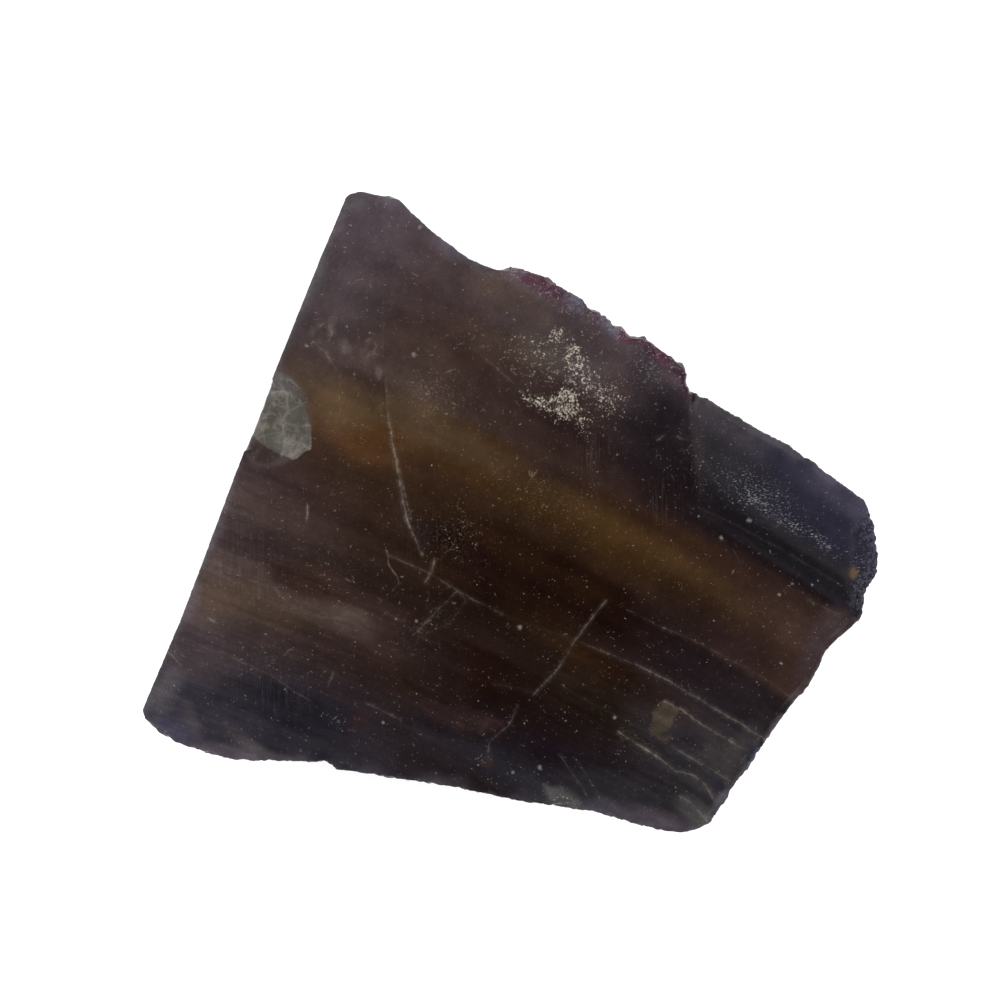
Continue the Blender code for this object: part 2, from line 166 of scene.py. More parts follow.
# Growth layers from the apex to the foot: distance across the bands in millimetres, then the
# colours of the layer from left to right, each with its x. Rows close together make a sharp edge.
LAYERS = (
    # The top layer's lilac is the stone's own, made paler over the apex with painted sheen.
    (21.0, (0, "apex lilac")),
    (15.5, (-12, "lilac grey"), (-7, "dusk rose"), (-1, "olive"), (8, "mauve")),
    (13.0, (-13, "mauve"), (-7, "plum brown"), (3, "mauve"), (8, "mauve"), (13, "aubergine")),
    (10.5, (-13, "mauve"), (-6, "plum brown"), (6, "plum brown"), (12, "black plum")),
    (8.0, (-13, "dusk rose"), (-6, "dusk brown"), (4, "dark plum"), (13, "black plum")),
    (7.0, (-13, "dusk brown"), (-6, "dusk brown"), (5, "rosewood"), (13, "black plum")),
    (6.0, (-13, "dusk brown"), (-6, "dusk brown"), (5, "rosewood"), (13, "dark plum"),
     (23, "rosewood")),
    (5.4, (-13, "dusk brown"), (-6, "dusk brown"), (5, "rosewood"), (14, "umber"),
     (23, "rosewood")),
    (4.6, (-12, "umber"), (-7, "honey"), (-1, "gold"), (3, "rosewood"), (8, "umber"),
     (14, "umber"), (24, "russet")),
    (3.0, (-12, "honey"), (-6, "honey"), (1, "gold"), (8, "bright gold"), (17, "gold"),
     (25, "rose")),
    (1.2, (-12, "amber"), (-7, "old gold"), (3, "old gold"), (8, "old gold"), (14, "brown"),
     (25, "russet")),
    (-0.3, (-12, "amber"), (-7, "umber"), (8, "brown"), (18, "dark plum"), (24, "russet")),
    (-1.8, (-12, "umber"), (-7, "brown"), (-2, "dark umber"), (9, "black umber"),
     (14, "dark plum"), (23, "russet")),
    (-2.5, (-12, "brown"), (-7, "brown"), (-2, "dark umber"), (6, "dark umber"),
     (9, "black umber"), (20, "aubergine")),
    (-4.5, (-11, "umber"), (-7, "dark plum"), (-2, "black umber"), (8, "black umber"),
     (13, "black plum"), (20, "aubergine")),
    (-6.4, (-10, "dark umber"), (-6, "dark umber"), (-2, "black umber"), (3, "dark umber"),
     (10, "dark plum"), (20, "ink")),
    (-6.9, (-9, "dark umber"), (-2, "black umber"), (4, "brown"), (9, "dark umber"),
     (13, "dark plum"), (19, "slate")),
    (-10.6, (-12, "bark"), (-7, "bark"), (3, "bark"), (8, "dark olive"),
     (13, "slate"), (18, "pewter")),
    (-11.2, (-12, "rosewood"), (-2, "black umber"), (8, "dark olive"), (14, "slate"),
     (18, "slate")),
    (-13.5, (-12, "dusk brown"), (-7, "dark plum"), (-2, "black umber"), (8, "black plum"),
     (14, "slate")),
    (-16.0, (-16, "dark plum"), (-8, "bark"), (3, "night plum"), (9, "charcoal")),
    (-19.0, (-18, "aubergine"), (-8, "aubergine"), (-1, "ink"), (5, "slate"), (12, "ink")),
    (-20.6, (-22, "slate"), (-8, "aubergine")),
    (-25.0, (-20, "ink")),
)
# The lobe is cut off from the other layers by its scarp, and has its own.
LOBE_LAYERS = (
    (16.5, (15, "mauve"), (20, "lobe grey"), (27, "violet corner")),
    (14.6, (15, "lobe grey"), (19, "lobe grey"), (22, "lobe blue"), (28, "violet corner")),
    (13.0, (18, "slate"), (24, "lobe blue")),
    (11.0, (16, "slate"), (24, "night blue")),
    (9.6, (16, "charcoal"), (22, "slate"), (27, "slate")),
    (8.9, (16, "charcoal"), (27, "charcoal")),
    (7.9, (14, "black plum"), (24, "charcoal")),
    (7.4, (14, "notch grey"), (24, "ink")),
    (6.6, (14, "black plum"), (24, "ink")),
    (5.6, (14, "dark plum"), (24, "rosewood")),
)
# The margin along the second saw cut is paler, over this width in millimetres.
MARGIN_WIDTH = 7.5
MARGIN = tuple((band, (0, shade)) for band, shade in (
    (12.0, "mauve"), (6.5, "mauve"), (3.0, "pink brown"), (-2.0, "dusk brown"),
    (-5.0, "dusk rose"), (-8.0, "pink ash"), (-10.9, "dusk rose"), (-13.2, "pink ash"),
    (-15.2, "pink brown"), (-17.2, "pink ash"), (-19.0, "mauve"), (-21.2, "mauve"),
    (-23.2, "violet grey"),
))

# Zones of colour over the layers: colour, middle, radii and turn of an ellipse on the sawn face,
# how strong it is, and where its core ends. Millimetres and degrees.
ZONES = {
    "amber heart": ("amber", (-11.6, 6.2), (3.8, 3.2), -30, 0.7, 0.1),
    "west honey": ("bright honey", (-13.6, 8.6), (4.6, 2.6), -20, 0.85, 0.2),
    "notch shadow": ("notch grey", (11.9, 6.4), (5.0, 4.4), -35, 0.8, 0.3),
    "crust ground": ("cream", (2.2, 13.2), (4.8, 3.2), -25, 0.5, 0.1),
    "rind flush": ("dusk rose", (6.4, 14.6), (7.0, 1.5), -40, 0.6, 0.2),
    "grey shoulder": ("notch grey", (11.0, 11.2), (3.8, 2.4), -42, 0.6, 0.2),
    "notch corner": ("notch grey", (13.4, 8.8), (2.6, 2.0), -50, 0.8, 0.4),
    "left flush": ("beige", (-21.8, -7.4), (8.0, 2.4), -12, 0.8, 0.2),
    "lilac blob": ("pink brown", (-13.0, -8.9), (2.6, 1.5), -20, 0.9, 0.2),
    "blue-black foot": ("blue black", (-17.8, -15.9), (8.8, 2.6), -23, 0.8, 0.4),
    "lilac wedge": ("pink ash", (-22.4, -18.0), (3.4, 0.8), -36, 0.3, 0.1),
    "violet corner": ("violet corner", (-27.6, -17.5), (2.4, 1.4), -35, 0.9, 0.3),
    "toe chip": ("toe blue", (19.7, -19.6), (1.3, 0.7), -45, 0.9, 0.4),
    "toe gutter": ("toe blue", (16.4, -22.0), (2.4, 0.7), -30, 0.45, 0.3),
    "toe ash": ("ash", (15.3, -24.8), (3.2, 1.5), -35, 0.6, 0.2),
    "pink blot": ("wine", (-12.4, -17.2), (0.9, 1.3), 0, 0.8, 0.3),
    "upper heart": ("dusk brown", (-9.4, 13.8), (4.6, 2.4), -20, 0.6, 0.1),
    "warm shoulder": ("dusk brown", (-1.4, 14.2), (5.4, 2.2), -32, 0.8, 0.2),
    "dark heart": ("black umber", (-4.6, -2.3), (5.0, 2.8), -25, 0.85, 0.1),
    "left plum": ("rosewood", (-16.2, -5.7), (4.8, 1.9), -18, 1.0, 0.5),
    "rosy end": ("dusk rose", (25.9, -10.6), (5.6, 1.8), 56, 0.8, 0.3),
    "foot mauve": ("slate", (9.0, -23.2), (6.4, 2.2), -14, 0.7, 0.4),
    "left foot rim": ("lilac grey", (-24.0, -19.5), (4.8, 1.1), -8, 0.9, 0.3),
    "toe": ("lilac grey", (11.0, -25.2), (6.4, 1.5), -12, 0.7, 0.2),
    "foot end": ("foot grey", (-18.2, -20.1), (2.4, 0.8), -14, 0.8, 0.2),
    "gutter haze": ("pewter", (15.5, -21.9), (2.2, 1.0), -30, 0.5, 0.2),
    "dark between veins": ("dark plum", (-9.4, -10.0), (2.8, 1.9), -20, 0.6, 0.2),
    "upper warmth": ("dusk brown", (-5.0, 13.8), (9.0, 3.6), -26, 0.55, 0.2),
    "dark shoulder": ("rosewood", (-3.0, 12.2), (3.2, 1.4), -35, 0.6, 0.2),
    "corner streak": ("foot grey", (-26.4, -16.6), (2.8, 0.9), -58, 0.6, 0.1),
    "foot dusk": ("foot dusk", (-5.4, -22.0), (3.4, 1.0), -10, 0.8, 0.2),
    "foot violet": ("foot violet", (7.6, -24.4), (3.2, 1.1), -12, 0.7, 0.2),
    "toe shadow": ("charcoal", (15.0, -18.5), (1.7, 1.0), -30, 0.7, 0.2),
    "grey foot": ("foot grey", (-20.6, -19.4), (3.4, 0.9), -24, 0.8, 0.2),
    # Partly painted sheen: the pale lilac at the apex corner is the stone's lilac made paler as a
    # painted reflection.
    "apex corner sheen": ("pale lilac", (-12.8, 25.4), (1.8, 1.1), 0, 0.7, 0.2),
    # Painted light: the pale band along the slope's rim stands in for light shining through the
    # thin edge.
    "slope rim light": ("lilac grey", (-4.3, 21.0), (4.2, 1.1), -28, 1.0, 0.3),
    "honey link": ("bright honey", (-10.1, 8.7), (1.9, 1.4), -20, 0.8, 0.2),
    "crust shade": ("plum brown", (8.6, 10.0), (2.6, 2.0), -25, 0.6, 0.2),
    "pale corner": ("pale lilac", (-28.2, -14.3), (3.0, 1.6), 66, 0.9, 0.1),
    # Painted light: the pale band along the upper left rim stands in for light shining through the
    # thin edge.
    "left rim light": ("pale lilac", (-16.4, 18.4), (6.2, 1.2), 68, 0.9, 0.2),
    "toe haze": ("pewter", (18.9, -18.8), (3.2, 1.2), 54, 0.6, 0.2),
    "lens shadow": ("night plum", (-6.4, -17.6), (2.8, 0.8), -30, 0.6, 0.2),
    "haze": ("haze", (-7.8, 9.4), (3.6, 2.2), -30, 0.2, 0.3),
    "first mottle": ("pale mottle", (-15.7, 14.6), (0.8, 1.0), 0, 0.7, 0.1),
    "second mottle": ("pale mottle", (-14.6, 14.9), (0.6, 1.1), 15, 0.6, 0.1),
    "third mottle": ("pale mottle", (-13.4, 13.6), (1.1, 1.3), 0, 0.4, 0.1),
    "fourth mottle": ("pale mottle", (-11.3, 13.2), (1.4, 1.4), 20, 0.3, 0.1),
    "fifth mottle": ("pale mottle", (-10.9, 11.3), (0.8, 1.0), 0, 0.5, 0.1),
    "sixth mottle": ("pale mottle", (-10.8, 9.0), (0.5, 0.5), 0, 0.5, 0.1),
}
# Patches with a clear edge: colour, strength, and their outline on the sawn face.
PATCHES = {
    "red lens": ("wine", 0.85, (
        (-7.5, -15.4), (-5.8, -15.7), (-3.7, -16.0), (-1.7, -16.4), (-0.4, -17.3), (-2.1, -18.5),
        (-3.7, -18.3), (-5.3, -17.6), (-6.6, -16.8), (-7.5, -16.0),
    )),
    "cream patch": ("cream", 0.9, (
        (12.0, -15.7), (12.8, -15.5), (13.9, -16.2), (13.4, -17.1), (13.2, -19.0), (12.3, -19.0),
        (11.4, -18.0), (11.6, -17.1),
    )),
    "lens light": ("rose", 0.4, (
        (-4.6, -16.6), (-2.4, -16.9), (-1.2, -17.3), (-2.3, -18.2), (-3.8, -17.9),
    )),
    "bruised skin": ("ash", 0.95, (
        (-19.6, 11.2), (-18.6, 11.4), (-17.9, 10.9), (-17.2, 10.2), (-17.0, 9.2), (-17.6, 9.7),
        (-18.7, 9.8), (-19.8, 9.7), (-20.4, 10.2),
    )),
    "foot patch": ("ash", 0.55, (
        (2.6, -22.3), (4.2, -22.4), (5.2, -23.1), (6.0, -23.9), (4.6, -24.0), (3.0, -23.2),
    )),
    "rusty speck": ("rust", 0.8, ((27.6, -4.7), (28.3, -4.6), (28.6, -5.1), (28.0, -5.5),
                                   (27.5, -5.2))),
    "pink clump": ("rose", 0.6, ((-2.8, -20.0), (-1.4, -20.1), (-1.2, -20.9), (-2.6, -20.9))),
}
# The rind's colours from left to right, each with its x.
RIND = ((-1.5, "rind rose"), (-0.4, "rind pink"), (0.8, "rind blush"), (1.6, "rind rose"),
        (3.2, "rind rose"), (4.6, "rind ice"), (5.6, "rind rose"), (6.6, "rind pink"),
        (7.4, "rind ice"), (8.3, "rind ice"), (9.0, "rind rose"), (10.0, "rind rose"),
        (11.2, "rind plum"), (12.4, "rind rose"), (13.2, "rind plum"), (14.6, "rind plum"))
# The outline of the bruised chip on the second saw cut's edge.
CHIP = (
    (-19.7, 9.8), (-18.7, 9.9), (-17.7, 9.8), (-17.1, 9.1), (-16.5, 7.7), (-16.3, 6.6),
    (-16.3, 5.2), (-17.7, 4.2), (-18.7, 4.6), (-19.9, 5.2), (-21.0, 6.1), (-21.8, 6.2),
    (-21.8, 8.0), (-20.6, 9.6),
)

# Crusts on the sawn face: middle, radii and turn of each spot, and how full it is.
CRUST_SPOTS = (
    ((5.6, 12.2), (1.3, 2.8), 18, 0.95), ((4.5, 8.8), (2.3, 2.2), -30, 1.06),
    ((2.5, 8.7), (2.6, 0.9), -36, 0.8), ((7.8, 9.4), (3.8, 2.8), -25, 0.44),
    ((5.9, 7.0), (1.6, 2.4), 10, 0.5), ((6.4, 10.6), (2.8, 2.4), -30, 0.56),
    ((2.4, 12.8), (4.8, 3.6), -20, 0.36), ((4.0, 14.5), (1.6, 1.4), -30, 0.7),
    ((5.4, 10.4), (7.0, 5.6), -25, 0.38), ((-14.4, -17.2), (1.8, 1.0), -20, 0.36),
    ((-2.1, -20.5), (1.2, 0.8), 0, 0.5), ((4.6, -23.4), (1.8, 1.0), -15, 0.3),
)
# The clear line along which the cream crust ends.
CRUST_EDGE = ((-1.4, 12.2), (-0.1, 9.9), (1.2, 8.6), (3.3, 7.5), (5.0, 6.4))
LOBE_CRUST_SPOTS = (
    ((20.0, 0.9), (3.8, 1.6), -33, 0.86), ((22.9, -1.0), (4.4, 1.4), -33, 0.8),
    ((20.4, 1.6), (8.0, 3.6), -33, 0.62), ((25.6, -2.4), (4.0, 1.7), -35, 0.7),
    ((28.6, -4.0), (1.4, 3.0), 0, 0.5), ((11.3, 11.6), (4.2, 2.6), -38, 0.6),
    ((15.4, 3.4), (1.6, 4.0), 5, 0.4),
)
# Where dust and lint have settled: middle, radii, turn and how thickly.
DUST_SPOTS = (
    ((-6.0, 9.6), (5.6, 3.6), -30, 1.1), ((3.0, 0.8), (10.0, 5.5), -25, 0.8),
    ((-4.6, -1.6), (6.8, 5.4), -20, 0.85), ((-14.5, -5.0), (9.0, 5.4), -15, 0.6),
    ((-1.0, 13.6), (7.0, 3.4), -30, 0.7), ((-6.5, -9.0), (5.0, 3.0), 40, 0.8),
    ((16.0, -5.5), (9.0, 4.0), -28, 0.4), ((-12.0, 18.5), (5.0, 5.0), 0, 0.4),
    ((14.6, 5.0), (3.4, 5.6), 0, 0.7), ((-20.0, -12.0), (9.0, 6.0), -20, 0.5),
)
# Where the saw's own marks still show: middle, radii, turn and how clearly.
SAW_SPOTS = (
    ((12.4, 0.8), (2.2, 3.4), 0, 0.8), ((6.8, 4.6), (3.0, 3.6), 0, 0.8),
    ((-19.5, -14.4), (7.4, 3.4), -22, 0.6), ((-22.0, -4.0), (6.0, 6.0), 0, 0.6),
    ((-6.0, -2.0), (6.0, 5.0), 0, 0.35),
)

# Fine lines: points, half width, strength, and how pale they are (0 dark, 1 white). First the
# healed ones, then the open cracks and the chip's lines, and then scratches, rims and lint.
HEALED_LINES = {
    "long layer line": (((-9.9, -3.6), (-8.5, -4.2), (-6.5, -5.1), (-3.7, -6.9), (-0.6, -8.4)),
                        0.14, 0.16, 0.6),
    "long layer line's end": (((-0.2, -8.6), (3.6, -10), (6, -10.8)), 0.12, 0.06, 0.5),
    "first white line's start": (((6.2, -10.9), (7.9, -11.6), (9.9, -12.4)), 0.1, 0.18, 0.7),
    "first white line": (((10.3, -12.5), (13.7, -14.3), (15.6, -15.4), (17, -16.3), (18.9, -17.4),
                          (20.7, -18.6)), 0.13, 0.36, 0.8),
    "third white line": (((8.9, -18.1), (10.8, -19.3), (12.2, -20.2), (13.6, -21.3), (15, -21.6),
                          (16.1, -22.5), (16.5, -23.4)), 0.12, 0.38, 0.8),
    "fifth white line": (((14, -23.4), (15, -24), (15.5, -24.6), (16, -25.1)), 0.14, 0.5, 0.65),
    "thin line": (((9.8, -8.1), (12.4, -9.5), (14.9, -10.5), (17.1, -11.6), (20.6, -13.5),
                   (23.1, -15.2)), 0.1, 0.12, 0.5),
    "lower layer line": (((4.4, -14.4), (7.2, -16), (9.9, -17.4), (11.6, -18.3)), 0.16, 0.07, 0.4),
    "short layer line": (((-1.3, -14.1), (1.7, -14.7)), 0.2, 0.06, 0.45),
    "left vein": (((-25.6, -10.9), (-22.6, -12), (-19.2, -13.7), (-17.5, -14.9), (-16.4, -15.5)),
                  0.08, 0.16, 0.5),
    "pale streak": (((-24.6, -4.6), (-22.3, -5.2), (-19.3, -6.3), (-18.2, -7.6), (-16.1, -8.5),
                     (-13.6, -8.9)), 0.3, 0.12, 0.5),
    "foot streak": (((-11.8, -15.7), (-10.4, -16.4), (-9, -17.1)), 0.1, 0.3, 0.6),
    "lobe's dark line": (((14.5, 0.5), (15.4, -0.1), (18.1, -1.4), (21.5, -3.2), (24.3, -4.8),
                          (26.6, -6.2), (27.5, -6.8)), 0.12, 0.5, 0.0),
    "blunt end line": (((24.2, -7.1), (26.0, -8.0), (27.6, -8.6)), 0.16, 0.1, 0.6),
    "upper left line": (((-16.1, 14), (-15.1, 13), (-14.2, 11.5)), 0.15, 0.32, 0.55),
    "crust's tail": (((-2.2, 12.7), (-1.1, 11.7), (0.1, 10.8), (1.2, 9.5)), 0.12, 0.3, 0.5),
    "shade beside the curved crack": (((-10.4, 11.6), (-10.3, 8.3), (-10.0, 6.6)), 0.08, 0.4, 0.0),
}
CRACKS = {
    "second white line": (((12.7, -15.6), (14, -16.2), (15.9, -17.6), (17.5, -18.5), (19, -19.4)),
                          0.12, 0.36, 0.8),
    "fourth white line": (((13.3, -19.3), (15.7, -20.7), (18.1, -22.1)), 0.1, 0.3, 0.65),
    "toe scratch": (((4.1, -20.0), (5.2, -21.6), (6.7, -23.7)), 0.1, 0.1, 0.6),
    "long crack": (((7.9, -7.3), (6.7, -8.7), (5.4, -10.5), (4, -12.8), (2, -15)),
                   0.1, 0.28, 0.95),
    "long crack's foot": (((0.6, -16), (-0.1, -17.5), (-0.6, -17.9), (-1.7, -18.9), (-1.9, -20.1)),
                          0.1, 0.18, 0.75),
    "curved crack's top": (((-10.2, 11.6), (-10.1, 8.3)), 0.08, 0.2, 0.7),
    "curved crack": (((-10.1, 7.9), (-9.8, 6.6), (-9.2, 3.2), (-8.5, -0.5), (-7.3, -3.5)),
                     0.12, 0.4, 0.95),
    "faint crack": (((-10.4, 17.1), (-10.4, 12.6)), 0.1, 0.1, 0.5),
    "hook": (((-6.2, -4), (-6.5, -5.1), (-7, -5.9)), 0.12, 0.28, 0.85),
    "cross vein": (((-4.3, -6.5), (-6.1, -8.2), (-7.9, -10.1)), 0.12, 0.18, 0.7),
    "branch vein": (((-10.3, -8.2), (-8.5, -9.3), (-7.2, -10.4), (-5.8, -10.9)), 0.1, 0.07, 0.6),
    "chip's spine": (((-18.7, 10.5), (-18.3, 9.5), (-18.3, 8.3), (-18.8, 7.2), (-18.5, 5.9),
                      (-18.8, 4.6)), 0.12, 0.29, 0.95),
    "chip's waist": (((-20.5, 7.8), (-19.3, 8), (-18.5, 7.3), (-17.5, 7), (-16.3, 7.1)),
                     0.1, 0.15, 0.95),
    "chip's shoulder": (((-19.9, 9.4), (-19.1, 8.8), (-18.1, 8.3), (-17.2, 8.8), (-16.8, 9)),
                        0.1, 0.17, 0.9),
    "chip's hem": (((-20.5, 6), (-19.2, 6.5), (-18.2, 6), (-17.1, 5.5), (-16.5, 5.2)),
                   0.1, 0.1, 0.95),
    "chip's left edge": (((-19.8, 9.6), (-20.4, 8.6), (-20.9, 7.4), (-21.2, 6.4)), 0.34, 0.36, 0.9),
    "chip's top edge": (((-19.7, 9.7), (-18.7, 9.8), (-17.7, 9.8)), 0.12, 0.26, 0.9),
    "chip's tip": (((-19.3, 11.3), (-18.7, 11.2), (-18.4, 10.6)), 0.12, 0.2, 0.8),
    "chip's upper arc": (((-18.0, 10.8), (-17.3, 10.1), (-17.2, 8.7)), 0.12, 0.25, 0.85),
}
SCRATCHES = {
    "second toe scratch": (((5.3, -20.2), (6.4, -21.8), (7.4, -23.4)), 0.1, 0.08, 0.6),
    "curved crack's twin": (((-9.8, 6.8), (-9.5, 5.1), (-9, 3), (-8.1, -0.7)), 0.1, 0.25, 0.7),
    "cross vein's side": (((-4.3, -6.5), (-3.6, -7.3), (-4.9, -9.1), (-7.3, -10.3)),
                          0.14, 0.08, 0.6),
    "light by the lobe's dark line": (((15.5, 0.3), (18.3, -1.0), (21.7, -2.8), (24.5, -4.4),
                                       (26.8, -5.8)), 0.1, 0.1, 0.5),
    "first mottle's rim": (((-15.6, 15.2), (-15.2, 15.6), (-14.8, 15.3), (-14.6, 14.6),
                            (-14.9, 14.0)), 0.13, 0.2, 0.75),
    "fourth mottle's rim": (((-11.9, 13.9), (-11.3, 14.2), (-10.9, 13.6), (-11.2, 12.9),
                             (-12.0, 12.6), (-12.3, 13.2)), 0.14, 0.16, 0.7),
    "fifth mottle's rim": (((-11.0, 11.9), (-10.5, 11.6), (-10.7, 10.9)), 0.14, 0.2, 0.75),
    "white dash": (((-24.6, -8.8), (-24.0, -9.2)), 0.12, 0.5, 0.9),
    "thin line's dash": (((12.5, -9.5), (13.6, -9.9)), 0.12, 0.35, 0.8),
    "rim scuff": (((-15.2, 20.8), (-15.9, 19.0), (-16.3, 17.2)), 0.12, 0.2, 0.8),
    "second edge nick": (((-27.4, -11.0), (-26.8, -11.8)), 0.1, 0.3, 0.85),
    "curled lint": (((-10.1, -3.2), (-10, -4.4), (-9.4, -5.2), (-9.1, -5.9), (-9.6, -6.4)),
                    0.05, 0.35, 0.9),
    "left scratch": (((-16.6, 0.5), (-16.7, -0.8)), 0.07, 1, 0.9),
    "low scratch": (((-14.5, -13.2), (-14.9, -14.2)), 0.07, 0.28, 0.8),
    "amber scratch": (((2.2, 3.3), (1.6, 2.5), (1.3, 1.7)), 0.05, 0.4, 0.8),
    "edge nick": (((-27.9, -11.6), (-27, -12.5)), 0.1, 0.25, 0.85),
    "notch nick": (((12.1, 5.9), (12.6, 6.2)), 0.12, 0.14, 0.7),
    "second notch nick": (((13.8, 6.1), (14.2, 5.9)), 0.1, 0.4, 0.7),
}
LINT_FIBRES = 36  # short curved fibres on the dusty parts of the face
GRAINS = (  # pale grains caught on the face: middle and radius
    ((8.6, -16.9), 0.17), ((0.8, -9.5), 0.2), ((19.6, -0.7), 0.22), ((17.3, -2.2), 0.18),
    ((-8.1, 24.0), 0.13), ((-7.6, 23.1), 0.14), ((23.2, -5.9), 0.12), ((22.1, -6.8), 0.13),
    ((0.2, -21.4), 0.14), ((2.4, -21.0), 0.19), ((-7.9, 12.9), 0.22), ((-10.4, -17.3), 0.15),
    ((-4.5, 21.2), 0.1), ((-13.4, 15.2), 0.12), ((-11.5, 14.7), 0.12), ((-16.6, 13.6), 0.16),
    ((-9.4, -8.8), 0.12), ((-7.7, -9.0), 0.13), ((15.5, -0.4), 0.1), ((24.8, -6.0), 0.1),
)

# The studio, in metres: softboxes in a ring round the stone, each with its heading in degrees and
# its power in watts.
SOFTBOXES = {
    "key": (132, 4.0), "back_light": (55, 3.0), "right_light": (-12, 3.0), "fill": (-85, 2.8),
    "left_light": (200, 2.8),
}
RING_RADIUS, RING_HEIGHT, SOFTBOX_SIZE = 0.58, 0.56, 0.6
FLOOR_RADIUS = 3.0
VIEW_WIDTH = 82.05  # mm of the sawn face's plane that the camera sees
VIEW_MIDDLE = (-0.83, 0.95)


# ---------------------------------------------------------------------------------------------
# The stone
# ---------------------------------------------------------------------------------------------

def smooth(low, high, value):
    """0 at low, 1 at high, and an even curve between, for numbers or arrays."""
    share = np.clip((value - low) / (high - low), 0.0, 1.0)
    return share * share * (3.0 - 2.0 * share)


def stone_colour(shade):
    """A colour of the palette as the stone's own."""
    seen = np.array(PALETTE[shade], float) / 255.0
    linear = np.where(seen <= 0.04045, seen / 12.92, ((seen + 0.055) / 1.055) ** 2.4)
    return np.maximum(linear - GLOSS, 0.0008) / STUDIO_LIGHT


def band_at(x, y, z):
    """Which growth band a place is in, in millimetres across the bands."""
    return BAND_X * x + BAND_BOW * x * x + BAND_Y * y + BAND_DIP * (z - THICKNESS)


def distance_to_line(x, y, line):
    """How far points are from a bent line, in the plane of the sawn face."""
    nearest = np.full(x.shape, np.inf)
    for (ax, ay), (bx, by) in zip(line, line[1:]):
        length_squared = (bx - ax) ** 2 + (by - ay) ** 2
        along = (x - ax) * (bx - ax) + (y - ay) * (by - ay)
        share = np.clip(along / length_squared, 0.0, 1.0)
        far = np.hypot(x - ax - share * (bx - ax), y - ay - share * (by - ay))
        nearest = np.minimum(nearest, far)
    return nearest


def wall_shares(x, y):
    """For each wall, how much points belong to it, from 0 to 1, and how far they are from any."""
    away = {name: distance_to_line(x, y, line) for name, line in WALLS.items()}
    nearest = np.min(np.stack(list(away.values())), axis=0)
    pull = {name: np.exp((nearest - far) / 0.5) for name, far in away.items()}
    total = sum(pull.values())
    return {name: value / total for name, value in pull.items()}, nearest


def cleaved(point, cell_size, step):
    """A stepped surface, from about 0 to 1: each cell splits along one cleavage direction."""
    site = noise.voronoi(point / cell_size)[1][0]
    pick = noise.cell(site * 7.3 + Vector((3.1, 5.7, 1.9)))
    normal = CLEAVAGE_NORMALS[int((pick * 0.5 + 0.5) * 3.999) % 4]
    along = (point.dot(normal) / step + pick * 9.0) % 1.0
    tread = along / 0.75 if along < 0.75 else (1.0 - along) / 0.25
    return 0.7 * tread + 0.3 * (noise.noise(site * 3.7) + 0.5)


def crystal_heads(point, size):
    """Blocky crystal heads packed side by side, from 0 in the gaps to about 1 on their tops."""
    turned = CRYSTAL_TURN @ point
    nearest = noise.voronoi(turned / size, distance_metric="CHEBYCHEV")[0][0]
    return max(0.0, 1.0 - 1.7 * nearest)


def in_ellipse(x, y, middle, radii, turn, core):
    """1 in the core of a turned ellipse on the sawn face, falling to 0 at its edge."""
    angle = math.radians(turn)
    across, up = x - middle[0], y - middle[1]
    u = (across * math.cos(angle) + up * math.sin(angle)) / radii[0]
    v = (up * math.cos(angle) - across * math.sin(angle)) / radii[1]
    return 1.0 - smooth(core, 1.0, np.hypot(u, v))


def near_line(x, y, line):
    """How far aside of a bent line points are, signed, and how far past its ends they are."""
    nearest, side, past = np.full(x.shape, np.inf), np.full(x.shape, np.inf), np.zeros(x.shape)
    last = len(line) - 2
    for index, ((ax, ay), (bx, by)) in enumerate(zip(line, line[1:])):
        length = math.hypot(bx - ax, by - ay)
        along = ((x - ax) * (bx - ax) + (y - ay) * (by - ay)) / length
        aside = ((y - ay) * (bx - ax) - (x - ax) * (by - ay)) / length
        over = np.maximum(along - length, 0.0) + np.maximum(-along, 0.0)
        far = np.hypot(aside, over)
        closer = far < nearest
        nearest = np.where(closer, far, nearest)
        side = np.where(closer, np.where(aside < 0.0, -far, far), side)
        at_end = ((index == 0) & (along < 0.0)) | ((index == last) & (along > length))
        past = np.where(closer, np.where(at_end, over, 0.0), past)
    return side, past


def within(x, y, outline):
    """How far inside an outline points are, in millimetres, negative outside it."""
    closed = outline + outline[:1]
    inside = np.zeros(x.shape, bool)
    for (ax, ay), (bx, by) in zip(closed, closed[1:]):
        if ay != by:
            crosses = (ay > y) != (by > y)
            inside ^= crosses & (x < ax + (y - ay) * (bx - ax) / (by - ay))
    far = distance_to_line(x, y, closed)
    return np.where(inside, far, -far)


def faceted_stone(node):
    """A copy of the stone's solid, joined up and worked in small even facets."""
    shape = bmesh.new()
    shape.from_mesh(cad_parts[node].data)
    bmesh.ops.remove_doubles(shape, verts=shape.verts, dist=1e-6)
    rough_mesh = bpy.data.meshes.new("rough_stone")
    shape.to_mesh(rough_mesh)
    shape.free()
    rough = bpy.data.objects.new("rough_stone", rough_mesh)
    bpy.context.scene.collection.objects.link(rough)
    facets = rough.modifiers.new("facets", "REMESH")
    facets.mode = "VOXEL"
    facets.voxel_size = FACET * MM
    worked = rough.evaluated_get(bpy.context.evaluated_depsgraph_get())
    mesh = bpy.data.meshes.new_from_object(worked)
    bpy.data.objects.remove(rough)
    bpy.data.meshes.remove(rough_mesh)
    return mesh


def refine_face(shape):
    """Halves the facets of the sawn face and its rim."""
    upper = [face for face in shape.faces if face.calc_center_median().z > FINE_FROM * MM]
    edges = dict.fromkeys(edge for face in upper for edge in face.edges)
    bmesh.ops.subdivide_edges(shape, edges=list(edges), cuts=1, use_grid_fill=True)
    uneven = [face for face in shape.faces if len(face.verts) > 4]
    bmesh.ops.triangulate(shape, faces=uneven)


